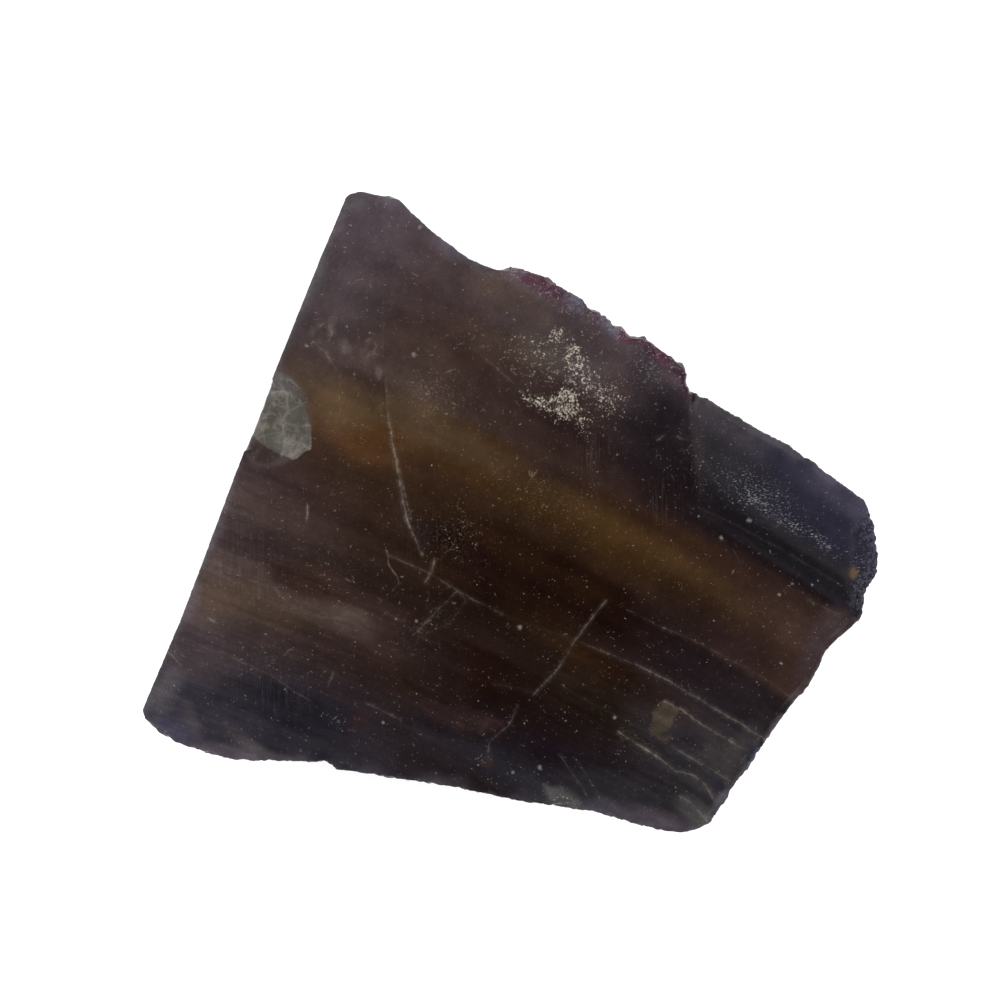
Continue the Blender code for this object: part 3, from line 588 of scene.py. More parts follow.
def wall_relief(point, steps, heads):
    """How far a wall stands out or in at a point, in millimetres."""
    depth = 0.0
    if steps > 0.01:
        elsewhere = point + Vector((9.0, 4.0, 2.0))
        depth += steps * (cleaved(point, *BROAD_CLEAVAGE) - 0.75)
        depth += steps * 0.45 * (cleaved(elsewhere, *SMALL_CLEAVAGE) - 0.6)
    if heads > 0.01:
        elsewhere = point + Vector((5.0, 1.0, 8.0))
        depth += heads * (crystal_heads(point, LARGE_HEADS) - 0.5)
        depth += heads * 0.5 * (crystal_heads(elsewhere, SMALL_HEADS) - 0.5)
    return depth


def face_relief(point, crust, lobe_crust, chip, ledge):
    """How far the sawn face stands out or in at a point, in millimetres."""
    depth = 0.012 * noise.noise(point * 0.9)
    if crust > 0.01:
        grain = noise.noise(point * 1.9) + 0.8 * noise.noise(point * 4.1)
        depth += crust * 0.16 * max(0.0, grain + 0.1)
    if lobe_crust > 0.01:
        depth += lobe_crust * 0.1 * noise.noise(Vector((point.x * 2.2, point.y * 3.4, point.z)))
    if chip > 0.01:
        depth += chip * 0.14 * (cleaved(point, *CHIP_CLEAVAGE) - 0.5)
    if ledge > 0.01:
        depth += ledge * 0.04 * (cleaved(point, *SMALL_CLEAVAGE) - 0.5)
    return depth


class Survey:
    """Where each point of the stone is, and what it belongs to, as one array for each fact."""

    def __init__(self, shape):
        shape.normal_update()
        self.points = np.array([vert.co for vert in shape.verts]) / MM
        self.normals = np.array([vert.normal for vert in shape.verts])
        self.wander()
        self.find_sides()
        self.find_growth_and_wear()

    def wander(self):
        """Moves a copy of each point far, a little or barely, and reads its mottle and speckle."""
        loose, close, near, mottle, speckle = [], [], [], [], []
        for co in self.points:
            point = Vector(co)
            broad_drift = noise.noise_vector(point * 0.11) * 0.3
            loose.append(point + broad_drift + noise.noise_vector(point * 0.45) * 0.4)
            close.append(point + noise.noise_vector(point * 0.9) * 0.2)
            near.append(point + noise.noise_vector(point * 1.2) * 0.07)
            speckle.append(noise.fractal(point * 1.3, 0.7, 2.0, 2))
            mottle.append(noise.fractal(point * 0.3, 0.8, 2.0, 5))
        self.loose, self.close, self.near = np.array(loose), np.array(close), np.array(near)
        self.mottle, self.speckle = np.array(mottle), np.array(speckle)

    def find_sides(self):
        """Tells the sawn face, the back and the walls apart, and the rind and the tip on them."""
        x, y, z = self.points.T
        up = self.normals[:, 2]
        self.shares, self.rim = wall_shares(x, y)
        off_rim = smooth(0.25, 0.7, self.rim)
        self.face = smooth(*FACE_FROM, z) * np.maximum(smooth(0.35, 0.8, up), off_rim)
        self.back = smooth(0.55, 0.9, -up) * (1.0 - smooth(0.2, 1.0, z))
        self.wall = np.clip(1.0 - self.face - self.back, 0.0, 1.0)
        depth_in = self.rim + 0.8 * self.mottle
        narrowed = np.interp(x, (3.0, 6.0, 13.0), (0.0, 0.25, 0.0))
        self.rind = self.shares["rind"] * np.maximum(
            1.0 - smooth(0.6, 1.8, depth_in + narrowed), 1.0 - smooth(14.0, 17.0, z)
        )
        self.tip = self.shares["tip"] * np.maximum(
            1.0 - smooth(0.6, 2.4, depth_in), 1.0 - smooth(13.0, 16.0, z)
        )

    def find_growth_and_wear(self):
        """Tells how much crust, dust, chip, ledge and saw mark there is at each point."""
        x, y, z = self.points.T
        edge, _ = near_line(self.close[:, 0], self.close[:, 1], CRUST_EDGE)
        before_edge = smooth(-0.25, 0.15, edge)
        self.crust = self.patch(CRUST_SPOTS) * np.where(np.abs(edge) < 6.0, before_edge, 1.0)
        self.lobe_crust = self.patch(LOBE_CRUST_SPOTS)
        self.dust = self.patch(DUST_SPOTS)
        upper = smooth(*FACE_FROM, z) * smooth(0.0, 0.2, self.normals[:, 2])
        self.chip = np.clip(within(x, y, CHIP), -1.0, 1.0) * upper - (1.0 - upper)
        self.ledge = self.face * in_ellipse(x, y, (16.0, -21.0), (6.5, 6.5), 0.0, 0.4)
        self.saw = self.patch(SAW_SPOTS)

    def by_wall(self, values):
        """What each point takes from the walls that it belongs to, given a value for each wall."""
        return sum(self.shares[name] * value for name, value in values.items())

    def patch(self, spots):
        """How much of something lies at each point, from its spots on the sawn face."""
        x, y, _ = self.loose.T
        laid = [
            in_ellipse(x, y, middle, radii, turn, 0.0) * full
            for middle, radii, turn, full in spots
        ]
        return self.face * np.max(np.stack(laid), axis=0)


def outward(x, y):
    """Which way is out of the stone from each point, square to the walls near it."""
    nearest = np.min([distance_to_line(x, y, line) for line in WALLS.values()], axis=0)
    out = np.zeros((len(x), 2))
    for line in WALLS.values():
        for (ax, ay), (bx, by) in zip(line, line[1:]):
            far = distance_to_line(x, y, ((ax, ay), (bx, by)))
            length = math.hypot(bx - ax, by - ay)
            pull = np.exp((nearest - far) / 0.35)
            out += pull[:, None] * ((ay - by) / length, (bx - ax) / length)
    return out / np.linalg.norm(out, axis=1)[:, None]


def swell_rim(survey):
    """How far the rim is moved outwards at each point, in X and Y."""
    x, y, z = survey.points.T
    places = np.array(SWELLS)
    bearings = np.degrees(np.arctan2(places[:, 1], places[:, 0]))
    swell = np.interp(np.degrees(np.arctan2(y, x)), bearings, places[:, 2], period=360.0)
    swell *= (1.0 - smooth(0.5, 2.0, survey.rim)) * smooth(8.0, 15.0, z)
    return outward(x, y) * swell[:, None]


def falls(x, y):
    """How far the top has fallen below the sawn face, in the solid and once it is eased."""
    band = band_at(x, y, np.full(len(x), THICKNESS))
    side, _ = near_line(x, y, SCARP)
    beyond = np.maximum(band - LOBE_BAND, 0.0)
    steep = smooth(-0.2, 0.2, side) * smooth(LOBE_BAND - 0.2, LOBE_BAND + 0.2, band)
    steep *= LOBE_FALL + LOBE_SLOPE * beyond
    gentle = smooth(-1.5, 1.5, side) * (SOFT_FALL * smooth(7.5, 12.0, band) + SOFT_SLOPE * beyond)
    reach = smooth(*LEDGE_REACH, x)
    for at, depth in LEDGES:
        steep += depth * reach * smooth(0.0, 0.3, at - band)
        gentle += SOFT_LEDGE * depth * reach * smooth(-0.6, 0.6, at - band)
    return steep, gentle


def eased(survey):
    """How far each point is raised to ease the solid's scarp and ledges into worn, gentle ones."""
    x, y, z = survey.points.T
    steep, gentle = falls(x, y)
    on_top = smooth(0.35, 0.7, survey.normals[:, 2]) * smooth(0.1, 0.4, survey.rim)
    inner = np.maximum(smooth(0.4, 1.6, survey.rim), on_top) * smooth(15.0, 15.6, z)
    lift = (steep - gentle) * (1.0 - inner) + (THICKNESS - gentle - z) * inner
    return lift * smooth(5.5, 9.5, x) * smooth(13.0, 16.0, z)


def squared(survey):
    """How far points on the rounded rim are moved to make the face's edge crisp, in X, Y and Z."""
    x, y, z = survey.points.T
    fallen, _ = falls(x, y)
    outline = tuple(corner for line in WALLS.values() for corner in line)
    inside = np.clip(within(x, y, outline), 0.0, 2.0)
    short = np.clip(THICKNESS - fallen - z, 0.0, 2.0)
    crisp = survey.by_wall(CRISP)
    crisp *= 1.0 - smooth(0.45, 0.8, np.maximum(inside, short))
    crisp *= smooth(0.5, 1.2, np.hypot(x - SCARP_END[0], y - SCARP_END[1]))
    share = inside / (inside + short + 1e-6)
    out = np.minimum(inside, RIM_REACH) * (1.0 - smooth(0.5, 0.8, share)) * crisp
    up = np.minimum(short, RIM_REACH) * smooth(0.2, 0.5, share) * crisp
    return np.column_stack([outward(x, y) * out[:, None], up])


def dress_shape(shape, survey):
    """Gives the walls their cleavage steps and crystals, and the face its crusts and chips."""
    steps, heads, ragged = survey.by_wall(STEPS), survey.by_wall(HEADS), survey.by_wall(RAGGED)
    height = survey.points[:, 2]
    below_rim = 1.0 - smooth(15.8, 17.7, height)
    above_back = smooth(0.0, 0.9, height) * (1.0 - survey.back)
    crusted = np.maximum(survey.rind, survey.tip * 0.6)
    on_wall = np.maximum(survey.wall * below_rim, crusted) * above_back
    on_rim = (1.0 - smooth(0.3, 0.9, survey.rim)) * above_back
    chip = np.clip(survey.chip / 0.4, 0.0, 1.0)
    swell, lift, square = swell_rim(survey), eased(survey), squared(survey)

    for index, vert in enumerate(shape.verts):
        point, normal = Vector(survey.points[index]), Vector(survey.normals[index])
        depth = 0.0
        if on_wall[index] > 0.01:
            depth += on_wall[index] * wall_relief(point, steps[index], heads[index])
        if survey.face[index] > 0.01:
            depth += survey.face[index] * face_relief(
                point, survey.crust[index], survey.lobe_crust[index], chip[index],
                survey.ledge[index],
            )
        moved = point + normal * depth
        if on_rim[index] > 0.01:
            uneven = noise.noise(point * 1.5) + 0.7 * noise.noise(point * 3.3) - 0.1
            aside = Vector((normal.x, normal.y, 0.0))
            moved += aside * (on_rim[index] * ragged[index] * uneven)
        moved += Vector((*swell[index], lift[index])) + Vector(square[index])
        moved.z = max(moved.z, 0.0)
        vert.co = moved * MM


def layer_colours(layers, x, band):
    """The colour at each point of growth layers, from its x and its place across the bands."""
    rows = []
    for _, *stops in layers:
        places = [place for place, _ in stops]
        shades = np.array([stone_colour(name) for _, name in stops])
        rows.append(np.stack([np.interp(x, places, shades[:, part]) for part in range(3)], axis=1))
    at = np.array([row[0] for row in layers])[::-1]
    rows = np.stack(rows[::-1])
    band = np.clip(band, at[0], at[-1])
    row = np.clip(np.searchsorted(at, band) - 1, 0, len(at) - 2)
    share = smooth(0.0, 1.0, (band - at[row]) / (at[row + 1] - at[row]))[:, None]
    point = np.arange(len(x))
    return rows[row, point] * (1.0 - share) + rows[row + 1, point] * share


def laid_over(colour, shade, mask):
    """A colour laid over others where its mask is."""
    return colour + (stone_colour(shade) - colour) * mask[:, None]


def stone_tint(survey):
    """The stone's colour at each point from its layers, zones and patches, with some painted light.
    """
    x, y, z = survey.close.T
    band = band_at(x, y, z)
    tint = layer_colours(LAYERS, x, band)
    margin = 0.8 * np.exp(-((distance_to_line(x, y, WALLS["sawn"]) / MARGIN_WIDTH) ** 1.3))
    tint += (layer_colours(MARGIN, x, band) - tint) * margin[:, None]

    far_x, far_y, _ = survey.loose.T
    deep = np.exp(-((THICKNESS - np.minimum(z, THICKNESS)) / 9.0) ** 2)
    for shade, middle, radii, turn, strength, core in ZONES.values():
        zone = in_ellipse(far_x, far_y, middle, radii, turn, core) * strength * deep
        if shade == "pale mottle":
            zone *= np.clip(0.4 + 2.4 * survey.speckle, 0.0, 1.3)
        tint = laid_over(tint, shade, zone)

    beyond = smooth(15.3, 15.7, x + 0.1 * y)
    in_lobe = beyond * smooth(6.9, 7.6, band)
    tint += (layer_colours(LOBE_LAYERS, x, band) - tint) * in_lobe[:, None]

    by_scarp = np.exp(-((distance_to_line(x, y, SCARP[1:4]) / 0.25) ** 2))
    tint = laid_over(tint, "scarp red", 0.4 * by_scarp * survey.face)

    uneven = np.clip(0.75 + 0.7 * survey.speckle, 0.0, 1.0)
    for shade, strength, outline in PATCHES.values():
        inside = smooth(-0.1, 0.15, within(x, y, outline) + 0.1 * survey.speckle)
        tint = laid_over(tint, shade, inside * strength * uneven * survey.face)

    rind = layer_colours(((1.0, *RIND), (0.0, *RIND)), x + survey.mottle, np.full(len(x), 0.5))
    grown = smooth(0.25, 0.6, survey.rind * (1.0 + 0.8 * survey.mottle))
    tint += (rind - tint) * grown[:, None]
    # Painted light: the thin rim is tinted paler where light would shine through it.
    glow = survey.by_wall(PAINTED_RIM_LIGHT)
    thin = 0.35 + 0.8 * smooth(-0.4, 0.6, survey.mottle)
    glow *= 1.0 - smooth(0.0, 1.0, survey.rim / thin)
    tint = laid_over(tint, "painted rim light", glow)
    return tint * (1.0 + 0.25 * survey.mottle)[:, None]


def lint():
    """Short curved fibres, scattered over the dusty parts of the face."""
    random = np.random.default_rng(11)
    stretch, half_width, paleness = 0.28, 0.045, 0.85
    fibres = {}
    for index in range(LINT_FIBRES):
        middle, radii, turn, _ = DUST_SPOTS[index % len(DUST_SPOTS)]
        along, across = random.normal(0.0, 0.5, 2) * radii
        angle = math.radians(turn)
        x = middle[0] + along * math.cos(angle) - across * math.sin(angle)
        y = middle[1] + along * math.sin(angle) + across * math.cos(angle)
        heading, bend = random.uniform(0.0, math.tau), random.normal(0.0, 0.7)
        fibre = [(x, y)]
        for _ in range(random.integers(1, 4)):
            x, y = x + stretch * math.cos(heading), y + stretch * math.sin(heading)
            fibre.append((x, y))
            heading += bend
        strength = random.uniform(0.1, 0.38)
        fibres[f"fibre {index}"] = (tuple(fibre), half_width, strength, paleness)
    return fibres


def caught_grains(survey):
    """Where each point lies from the grain beside it, in its radii, and whether there is one."""
    x, y, _ = survey.near.T
    found = np.zeros((len(x), 3))
    for (mx, my), radius in GRAINS:
        near = (np.hypot(x - mx, y - my) < 1.0) & (survey.face > 0.5)
        way = np.stack([(x - mx) / radius, (y - my) / radius, np.ones(len(x))], axis=1)
        found[near] = way[near]
    return found


def drawn_lines(survey, lines):
    """Fine lines near each point: how far aside in line widths, how strong, and how pale."""
    reach, far_off = 1.2, 30.0  # in millimetres, and in line widths
    drawn = np.zeros((len(survey.points), 3))
    drawn[:, 0] = far_off
    for points, width, strength, paleness in lines.values():
        low, high = np.min(points, axis=0) - reach, np.max(points, axis=0) + reach
        near = np.flatnonzero(
            (survey.face > 0.0)
            & np.all((survey.near[:, :2] > low) & (survey.near[:, :2] < high), axis=1)
        )
        side, past = near_line(survey.near[near, 0], survey.near[near, 1], points)
        fade = (1.0 - smooth(0.3, 0.6, np.abs(side) - width)) * (1.0 - smooth(0.0, 0.3, past))
        fade *= [1.0 + 1.2 * noise.noise(Vector(place) * 0.9) for place in survey.points[near]]
        closer = (np.abs(side) < reach) & (np.abs(side / width) < np.abs(drawn[near, 0]))
        taken = near[closer]
        drawn[taken, 0] = side[closer] / width
        drawn[taken, 1] = fade[closer] * strength * survey.face[taken]
        drawn[taken, 2] = paleness
    return drawn


def smooth_shading(shape):
    """Smooths the shading, but for the crisp edges round the sawn face."""
    for face in shape.faces:
        face.smooth = True
    for edge in shape.edges:
        high = min(vert.co.z for vert in edge.verts) > RIM_FROM * MM
        if high and edge.calc_face_angle(0.0) > SHARP_ANGLE:
            edge.smooth = False


def keep_marks(mesh, survey):
    """Keeps on the mesh what its material reads: a tint, and where each mark and growth is."""
    x, y, z = survey.close.T
    kept = {
        "tint": stone_tint(survey),
        "grain_run": np.stack([x * BAND_Y - y * BAND_X, band_at(x, y, z), z], axis=1),
        "healed": drawn_lines(survey, HEALED_LINES),
        "cracks": drawn_lines(survey, CRACKS),
        "scratches": drawn_lines(survey, SCRATCHES | lint()),
        "grains": caught_grains(survey),
        "sides": np.stack([survey.wall, survey.rind, survey.tip], axis=1),
        "crusts": np.stack([survey.crust, survey.lobe_crust, survey.mottle], axis=1),
        "wear": np.stack([survey.chip, survey.dust, survey.face], axis=1),
    }
    for name, values in kept.items():
        layer = mesh.attributes.new(name, "FLOAT_VECTOR", "POINT")
        layer.data.foreach_set("vector", values.astype(np.float32).ravel())
    layer = mesh.attributes.new("saw_marks", "FLOAT", "POINT")
    layer.data.foreach_set("value", survey.saw.astype(np.float32))


def build_stone():
    """The dressed stone, in place of the plain solid."""
    mesh = faceted_stone("fluorite_stone")
    mesh.name = "stone"
    shape = bmesh.new()
    shape.from_mesh(mesh)
    bmesh.ops.smooth_vert(
        shape, verts=shape.verts, factor=0.5, use_axis_x=True, use_axis_y=True, use_axis_z=True
    )
    refine_face(shape)
    survey = Survey(shape)
    dress_shape(shape, survey)
    shape.normal_update()
    smooth_shading(shape)
    shape.to_mesh(mesh)
    shape.free()
    keep_marks(mesh, survey)
    mesh.materials.append(fluorite())
    stone = bpy.data.objects.new("stone", mesh)
    bpy.context.scene.collection.objects.link(stone)
    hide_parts("fluorite_stone")
    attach(stone, "root")


# ---------------------------------------------------------------------------------------------
# Shader nodes, one short call for each
# ---------------------------------------------------------------------------------------------

def tone(shade):
    """A colour of the palette as the shader takes it."""
    return (*stone_colour(shade), 1.0)


def add(tree, kind, inputs=None, **settings):
    """One node with its settings, its inputs set or linked."""
    made = tree.nodes.new(kind)
    for name, value in settings.items():
        setattr(made, name, value)
    for key, value in (inputs or {}).items():
        if isinstance(value, bpy.types.NodeSocket):
            tree.links.new(value, made.inputs[key])
        else:
            made.inputs[key].default_value = value
    return made


def calc(tree, operation, first, second=0.0):
    """One step of arithmetic."""
    return add(tree, "ShaderNodeMath", {0: first, 1: second}, operation=operation).outputs[0]


def total(tree, *values):
    """The sum of several values."""
    result = values[0]
    for value in values[1:]:
        result = calc(tree, "ADD", result, value)
    return result


def product(tree, *values):
    """Several values multiplied together."""
    result = values[0]
    for value in values[1:]:
        result = calc(tree, "MULTIPLY", result, value)
    return result


def vector_calc(tree, operation, first, second=(0.0, 0.0, 0.0)):
    """One step of vector arithmetic."""
    made = add(tree, "ShaderNodeVectorMath", {0: first, 1: second}, operation=operation)
    return made.outputs["Value" if operation == "LENGTH" else "Vector"]


def spread(tree, value, low, high, to_low=0.0, to_high=1.0):
    """A value taken from one range to another along a smooth step."""
    made = add(
        tree, "ShaderNodeMapRange",
        {"Value": value, "From Min": low, "From Max": high, "To Min": to_low, "To Max": to_high},
        interpolation_type="SMOOTHSTEP",
    )
    return made.outputs["Result"]


def mix(tree, share, first, second):
    """Two colours mixed, in the sockets that the node keeps for colours."""
    made = add(tree, "ShaderNodeMix", {0: share, 6: first, 7: second}, data_type="RGBA")
    return made.outputs[2]


def cloud(tree, place, scale, detail=2.0, roughness=0.5):
    """Soft noise, from about 0 to 1."""
    made = add(
        tree, "ShaderNodeTexNoise",
        {"Vector": place, "Scale": scale, "Detail": detail, "Roughness": roughness},
    )
    return made.outputs[0]


def joined(tree, x, y, z):
    """Three numbers as one vector."""
    return add(tree, "ShaderNodeCombineXYZ", {0: x, 1: y, 2: z}).outputs[0]


def stretched(tree, place, turn, scale):
    """Coordinates stretched, then turned about Z, for a grain that runs one way."""
    made = add(
        tree, "ShaderNodeMapping",
        {"Vector": place, "Rotation": (0.0, 0.0, math.radians(turn)), "Scale": scale},
        vector_type="POINT",
    )
    return made.outputs[0]


def marks(tree, name):
    """Three numbers kept on the stone's mesh."""
    kept = add(tree, "ShaderNodeAttribute", attribute_name=name).outputs["Vector"]
    return add(tree, "ShaderNodeSeparateXYZ", {0: kept}).outputs


# ---------------------------------------------------------------------------------------------
# The fluorite's finish
# ---------------------------------------------------------------------------------------------

class Reading:
    """What the finish reads at each place: the marks kept on the mesh, and grit and flecks."""

    def __init__(self, tree):
        metres = add(tree, "ShaderNodeTexCoord").outputs["Object"]
        self.place = vector_calc(tree, "MULTIPLY", metres, (1.0 / MM, 1.0 / MM, 1.0 / MM))
        self.wall, self.rind, self.tip = marks(tree, "sides")
        self.crust, self.lobe_crust, self.mottle = marks(tree, "crusts")
        self.chip, self.dust, self.face = marks(tree, "wear")
        self.grit = cloud(tree, self.place, 2.2, 4.0, 0.72)
        self.grit_swing = calc(tree, "SUBTRACT", self.grit, 0.5)
        self.fleck = cloud(tree, self.place, 6.2, 1.0, 0.7)
        self.fleck_swing = calc(tree, "SUBTRACT", self.fleck, 0.5)
        self.glitter = total(tree, self.fleck, product(tree, self.grit_swing, 0.8))
        self.wobble = product(tree, self.grit_swing, 0.8)
        self.saw_marks = add(tree, "ShaderNodeAttribute", attribute_name="saw_marks").outputs["Fac"]
        across_cut = vector_calc(tree, "MULTIPLY", self.place, (7.0, 0.35, 0.3))
        self.sawn = cloud(tree, across_cut, 1.0, 1.0, 0.6)


def banded_ground(tree, read):
    """The tint, with streaks along the bands, crisper towards the foot, and a fine grain."""
    tint = add(tree, "ShaderNodeAttribute", attribute_name="tint").outputs["Vector"]
    run = add(tree, "ShaderNodeAttribute", attribute_name="grain_run").outputs["Vector"]
    band = add(tree, "ShaderNodeSeparateXYZ", {0: run}).outputs["Y"]
    broad = cloud(tree, vector_calc(tree, "MULTIPLY", run, (0.05, 0.6, 0.1)), 1.0, 1.0)
    fine = cloud(tree, vector_calc(tree, "MULTIPLY", run, (0.10, 2.4, 0.3)), 1.0, 2.0, 0.6)
    blotch = cloud(tree, read.place, 0.75, 2.0, 0.6)
    lower = spread(tree, band, 2.0, -12.0, 0.12, 0.9)
    saw_swing = product(tree, calc(tree, "SUBTRACT", read.sawn, 0.5), read.saw_marks)
    gain = total(
        tree, 1.0,
        product(tree, calc(tree, "SUBTRACT", broad, 0.5), 0.45),
        product(tree, calc(tree, "SUBTRACT", fine, 0.5), lower),
        product(tree, calc(tree, "SUBTRACT", blotch, 0.5), 0.3),
        product(tree, read.grit_swing, 0.55), product(tree, read.fleck_swing, 0.35),
        product(tree, saw_swing, 0.8),
    )
    return vector_calc(tree, "MULTIPLY", tint, joined(tree, gain, gain, gain))


def fine_lines(tree, read, colour):
    """Healed cracks and veins, open cracks, and scratches; and how strong they are together."""
    breaks = spread(tree, read.grit, 0.36, 0.62, 0.2, 1.0)
    lines = 0.0
    for name in ("healed", "cracks", "scratches"):
        side, strength, paleness = marks(tree, name)
        aside = calc(tree, "ABSOLUTE", calc(tree, "ADD", side, read.wobble))
        core = spread(tree, aside, 0.1, 1.1, 1.0, 0.0)
        halo = spread(tree, aside, 0.5, 3.4, 0.26, 0.0)
        whole = calc(tree, "MAXIMUM", breaks, calc(tree, "SUBTRACT", 1.0, paleness))
        mask = product(tree, calc(tree, "MAXIMUM", core, halo), strength, whole)
        shade = mix(tree, paleness, tone("dark line"), tone("pale line"))
        colour = mix(tree, mask, colour, shade)
        lines = calc(tree, "MAXIMUM", lines, mask)
    return colour, lines


def sawn_and_broken(tree, read, colour):
    """The saw's own marks, and bare broken walls, frosted and paler over their bands."""
    scored = product(tree, spread(tree, read.sawn, 0.46, 0.72, 0.0, 0.14), read.saw_marks,
                     spread(tree, read.grit, 0.35, 0.6, 0.4, 1.0))
    colour = mix(tree, scored, colour, tone("saw mark"))
    frost = spread(tree, read.grit, 0.3, 0.7, 0.15, 0.6)
    return mix(tree, product(tree, read.wall, frost), colour, tone("frosted wall"))


def bruised_chip(tree, read, colour):
    """The bruised chip on the sawn edge, and the fine cracks in it."""
    chip = spread(tree, total(tree, read.chip, product(tree, read.grit_swing, 0.3)), -0.04, 0.05)
    cloudy = spread(tree, total(tree, read.grit, product(tree, read.mottle, 0.5)), 0.3, 0.75)
    shade = mix(tree, cloudy, tone("chip shade"), tone("chip light"))
    side, strength, _ = marks(tree, "cracks")
    aside = calc(tree, "ABSOLUTE", calc(tree, "ADD", side, read.wobble))
    flaws = product(tree, spread(tree, aside, 0.0, 1.6, 1.0, 0.0), strength)
    shade = mix(tree, flaws, shade, tone("chip flaw"))
    return mix(tree, product(tree, chip, 0.95), colour, shade)


def rind_and_tip(tree, read, colour):
    """Painted glints on the crystal rind, painted shade in the gaps between its crystals, and the
    crumbly tip.
    """
    ragged = spread(tree, total(tree, read.rind, product(tree, read.grit_swing, 0.8)), 0.25, 0.6)
    # Painted highlight: pale glints on the rind's crystals. Painted shade: dark gaps between them.
    gleam = product(tree, ragged, spread(tree, read.glitter, 0.56, 0.8, 0.0, 0.4))
    gap = product(tree, ragged, spread(tree, read.glitter, 0.42, 0.25, 0.0, 0.5))
    colour = mix(tree, gleam, colour, tone("painted rind glint"))
    colour = mix(tree, gap, colour, tone("painted rind gap shade"))
    shade = mix(
        tree, spread(tree, read.glitter, 0.42, 0.66), tone("tip shade"), tone("tip light")
    )
    crumbs = total(tree, read.tip, product(tree, read.grit_swing, 1.2))
    return mix(tree, spread(tree, crumbs, 0.3, 1.0, 0.0, 0.6), colour, shade)


def granular_crusts(tree, read, colour):
    """The crusts, cream on the face and grey-white on the lobe, and how full each one is."""
    full = calc(tree, "MINIMUM", product(tree, read.crust, 0.28), 0.18)
    level = total(tree, product(tree, read.grit, 0.45), product(tree, read.fleck, 0.55), full)
    crust = product(tree, spread(tree, level, 0.62, 0.78), read.face)
    whiteness = spread(tree, total(tree, read.glitter, product(tree, full, 1.3)), 0.48, 1.02)
    colour = mix(tree, crust, colour, mix(tree, whiteness, tone("crust grit"), tone("crust white")))
    grains = cloud(tree, stretched(tree, read.place, 35.0, (3.6, 11.0, 4.0)), 1.0, 2.0, 0.7)
    lobe_level = total(
        tree, product(tree, grains, 0.6), product(tree, read.fleck, 0.4),
        product(tree, read.lobe_crust, 0.2),
    )
    lobe_crust = product(tree, spread(tree, lobe_level, 0.65, 0.78), read.face)
    colour = mix(tree, product(tree, lobe_crust, 0.9), colour, tone("lobe frost"))
    return colour, crust, lobe_crust


def grains_and_dust(tree, read, colour):
    """Caught grains, a thin film of dust and its specks, and where the specks are."""
    off_x, off_y, near = marks(tree, "grains")
    away = vector_calc(tree, "LENGTH", joined(tree, off_x, off_y, 0.0))
    uneven = total(
        tree, away, product(tree, read.grit_swing, 2.2), product(tree, read.fleck_swing, 1.2)
    )
    grain = product(
        tree, spread(tree, uneven, 0.0, 1.4, 0.8, 0.0), spread(tree, near, 0.6, 0.9)
    )
    colour = mix(tree, grain, colour, tone("caught grain"))
    film = product(
        tree, spread(tree, read.dust, 0.3, 1.2), spread(tree, read.fleck, 0.4, 0.7, 0.0, 0.06)
    )
    colour = mix(tree, film, colour, tone("dust film"))
    level = total(
        tree, read.fleck, product(tree, read.dust, 0.19), product(tree, read.grit_swing, 0.35)
    )
    specks = product(tree, spread(tree, level, 0.72, 1.02, 0.0, 0.4), read.face)
    return mix(tree, specks, colour, tone("dust speck")), specks


def fluorite():
    """Dark banded fluorite with an amber heart, crystal rind, crusts, cracks and dust."""
    material = bpy.data.materials.new("fluorite")
    material.use_nodes = True
    tree = material.node_tree
    shader = tree.nodes["Principled BSDF"]
    read = Reading(tree)
    colour, lines = fine_lines(tree, read, banded_ground(tree, read))
    colour = sawn_and_broken(tree, read, colour)
    colour = bruised_chip(tree, read, colour)
    colour = rind_and_tip(tree, read, colour)
    colour, crust, lobe_crust = granular_crusts(tree, read, colour)
    colour, specks = grains_and_dust(tree, read, colour)

    # Relief too fine for the mesh
    coarse = total(tree, read.wall, product(tree, read.crust, 0.5))
    height = product(tree, read.grit, spread(tree, coarse, 0.0, 1.0, 0.02, 0.2))
    bump = add(tree, "ShaderNodeBump", {"Height": height, "Distance": MM, "Strength": 1.0})
    dull = total(
        tree, 0.18, product(tree, read.grit, 0.14), product(tree, crust, 0.4),
        product(tree, lobe_crust, 0.3), product(tree, specks, 0.4), product(tree, lines, 0.2),
    )
    tree.links.new(colour, shader.inputs["Base Color"])
    tree.links.new(dull, shader.inputs["Roughness"])
    tree.links.new(bump.outputs[0], shader.inputs["Normal"])
    shader.inputs["Metallic"].default_value = 0.0
    shader.inputs["IOR"].default_value = FLUORITE_IOR
    shader.inputs["Specular IOR Level"].default_value = 0.14
    return material


# ---------------------------------------------------------------------------------------------
# Studio
# ---------------------------------------------------------------------------------------------

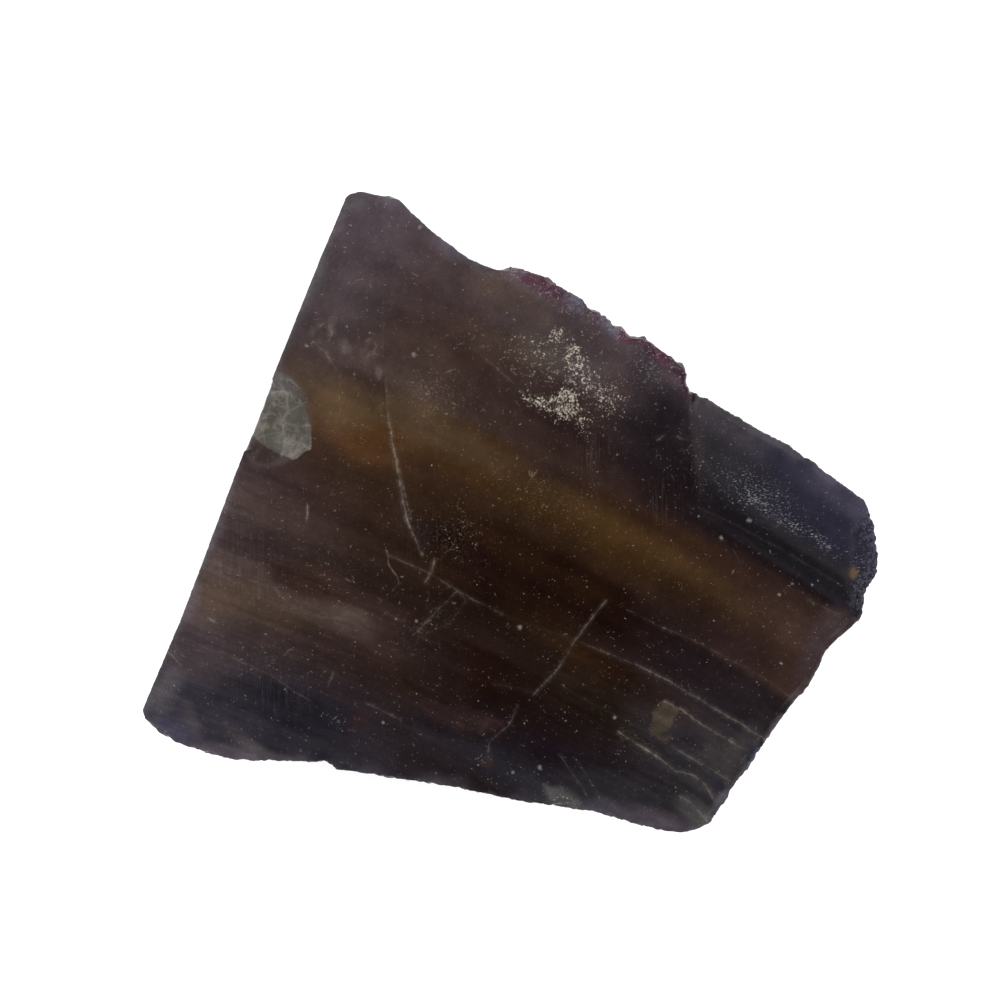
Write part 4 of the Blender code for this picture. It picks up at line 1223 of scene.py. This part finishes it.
def studio_floor():
    """A wide pale floor, a little brighter far from the stone."""
    shape = bmesh.new()
    bmesh.ops.create_circle(shape, cap_ends=True, segments=64, radius=FLOOR_RADIUS)
    mesh = bpy.data.meshes.new("studio_floor")
    shape.to_mesh(mesh)
    shape.free()
    paint = bpy.data.materials.new("floor_paint")
    paint.use_nodes = True
    tree = paint.node_tree
    shader = tree.nodes["Principled BSDF"]
    shader.inputs["Base Color"].default_value = (0.92, 0.92, 0.92, 1.0)
    shader.inputs["Roughness"].default_value = 0.9
    shader.inputs["Specular IOR Level"].default_value = 0.1
    shader.inputs["Emission Color"].default_value = (1.0, 1.0, 1.0, 1.0)
    away = vector_calc(tree, "LENGTH", add(tree, "ShaderNodeTexCoord").outputs["Object"])
    glow = spread(tree, away, 0.35, 1.3, 0.25, 0.8)
    tree.links.new(glow, shader.inputs["Emission Strength"])
    mesh.materials.append(paint)
    floor = bpy.data.objects.new("studio_floor", mesh)
    bpy.context.scene.collection.objects.link(floor)


def softbox(name, place, power):
    """A square soft light aimed at the middle of the stone."""
    light = bpy.data.lights.new(name, "AREA")
    light.shape = "SQUARE"
    light.size = SOFTBOX_SIZE
    light.energy = power
    box = bpy.data.objects.new(name, light)
    box.location = place
    to_stone = Vector((0.0, 0.0, 0.01)) - Vector(place)
    box.rotation_euler = to_stone.to_track_quat("-Z", "Y").to_euler()
    bpy.context.scene.collection.objects.link(box)


def studio_light():
    """A ring of soft lights and a low bright room, with nothing bright straight overhead."""
    for name, (heading, power) in SOFTBOXES.items():
        angle = math.radians(heading)
        x, y = RING_RADIUS * math.cos(angle), RING_RADIUS * math.sin(angle)
        softbox(name, (x, y, RING_HEIGHT), power)
    world = bpy.data.worlds.new("studio")
    bpy.context.scene.world = world
    world.use_nodes = True
    tree = world.node_tree
    ray = add(tree, "ShaderNodeTexCoord").outputs["Generated"]
    height = add(tree, "ShaderNodeSeparateXYZ", {0: ray}).outputs["Z"]
    dim = spread(tree, height, 0.12, 0.62)
    colour = mix(tree, dim, (0.86, 0.86, 0.87, 1.0), (0.02, 0.02, 0.022, 1.0))
    tree.links.new(colour, tree.nodes["Background"].inputs["Color"])
    tree.nodes["Background"].inputs["Strength"].default_value = 1.0


def camera():
    """Straight down on the sawn face."""
    lens = bpy.data.cameras.new("camera")
    lens.sensor_width = 36.0
    lens.lens = 110.0
    lens.clip_start, lens.clip_end = 0.01, 50.0
    eye = bpy.data.objects.new("camera", lens)
    away = lens.lens / lens.sensor_width * (VIEW_WIDTH * MM)
    eye.location = (VIEW_MIDDLE[0] * MM, VIEW_MIDDLE[1] * MM, THICKNESS * MM + away)
    bpy.context.scene.collection.objects.link(eye)
    bpy.context.scene.camera = eye


build_stone()
studio_floor()
studio_light()
camera()
bpy.context.scene.view_settings.view_transform = "Standard"
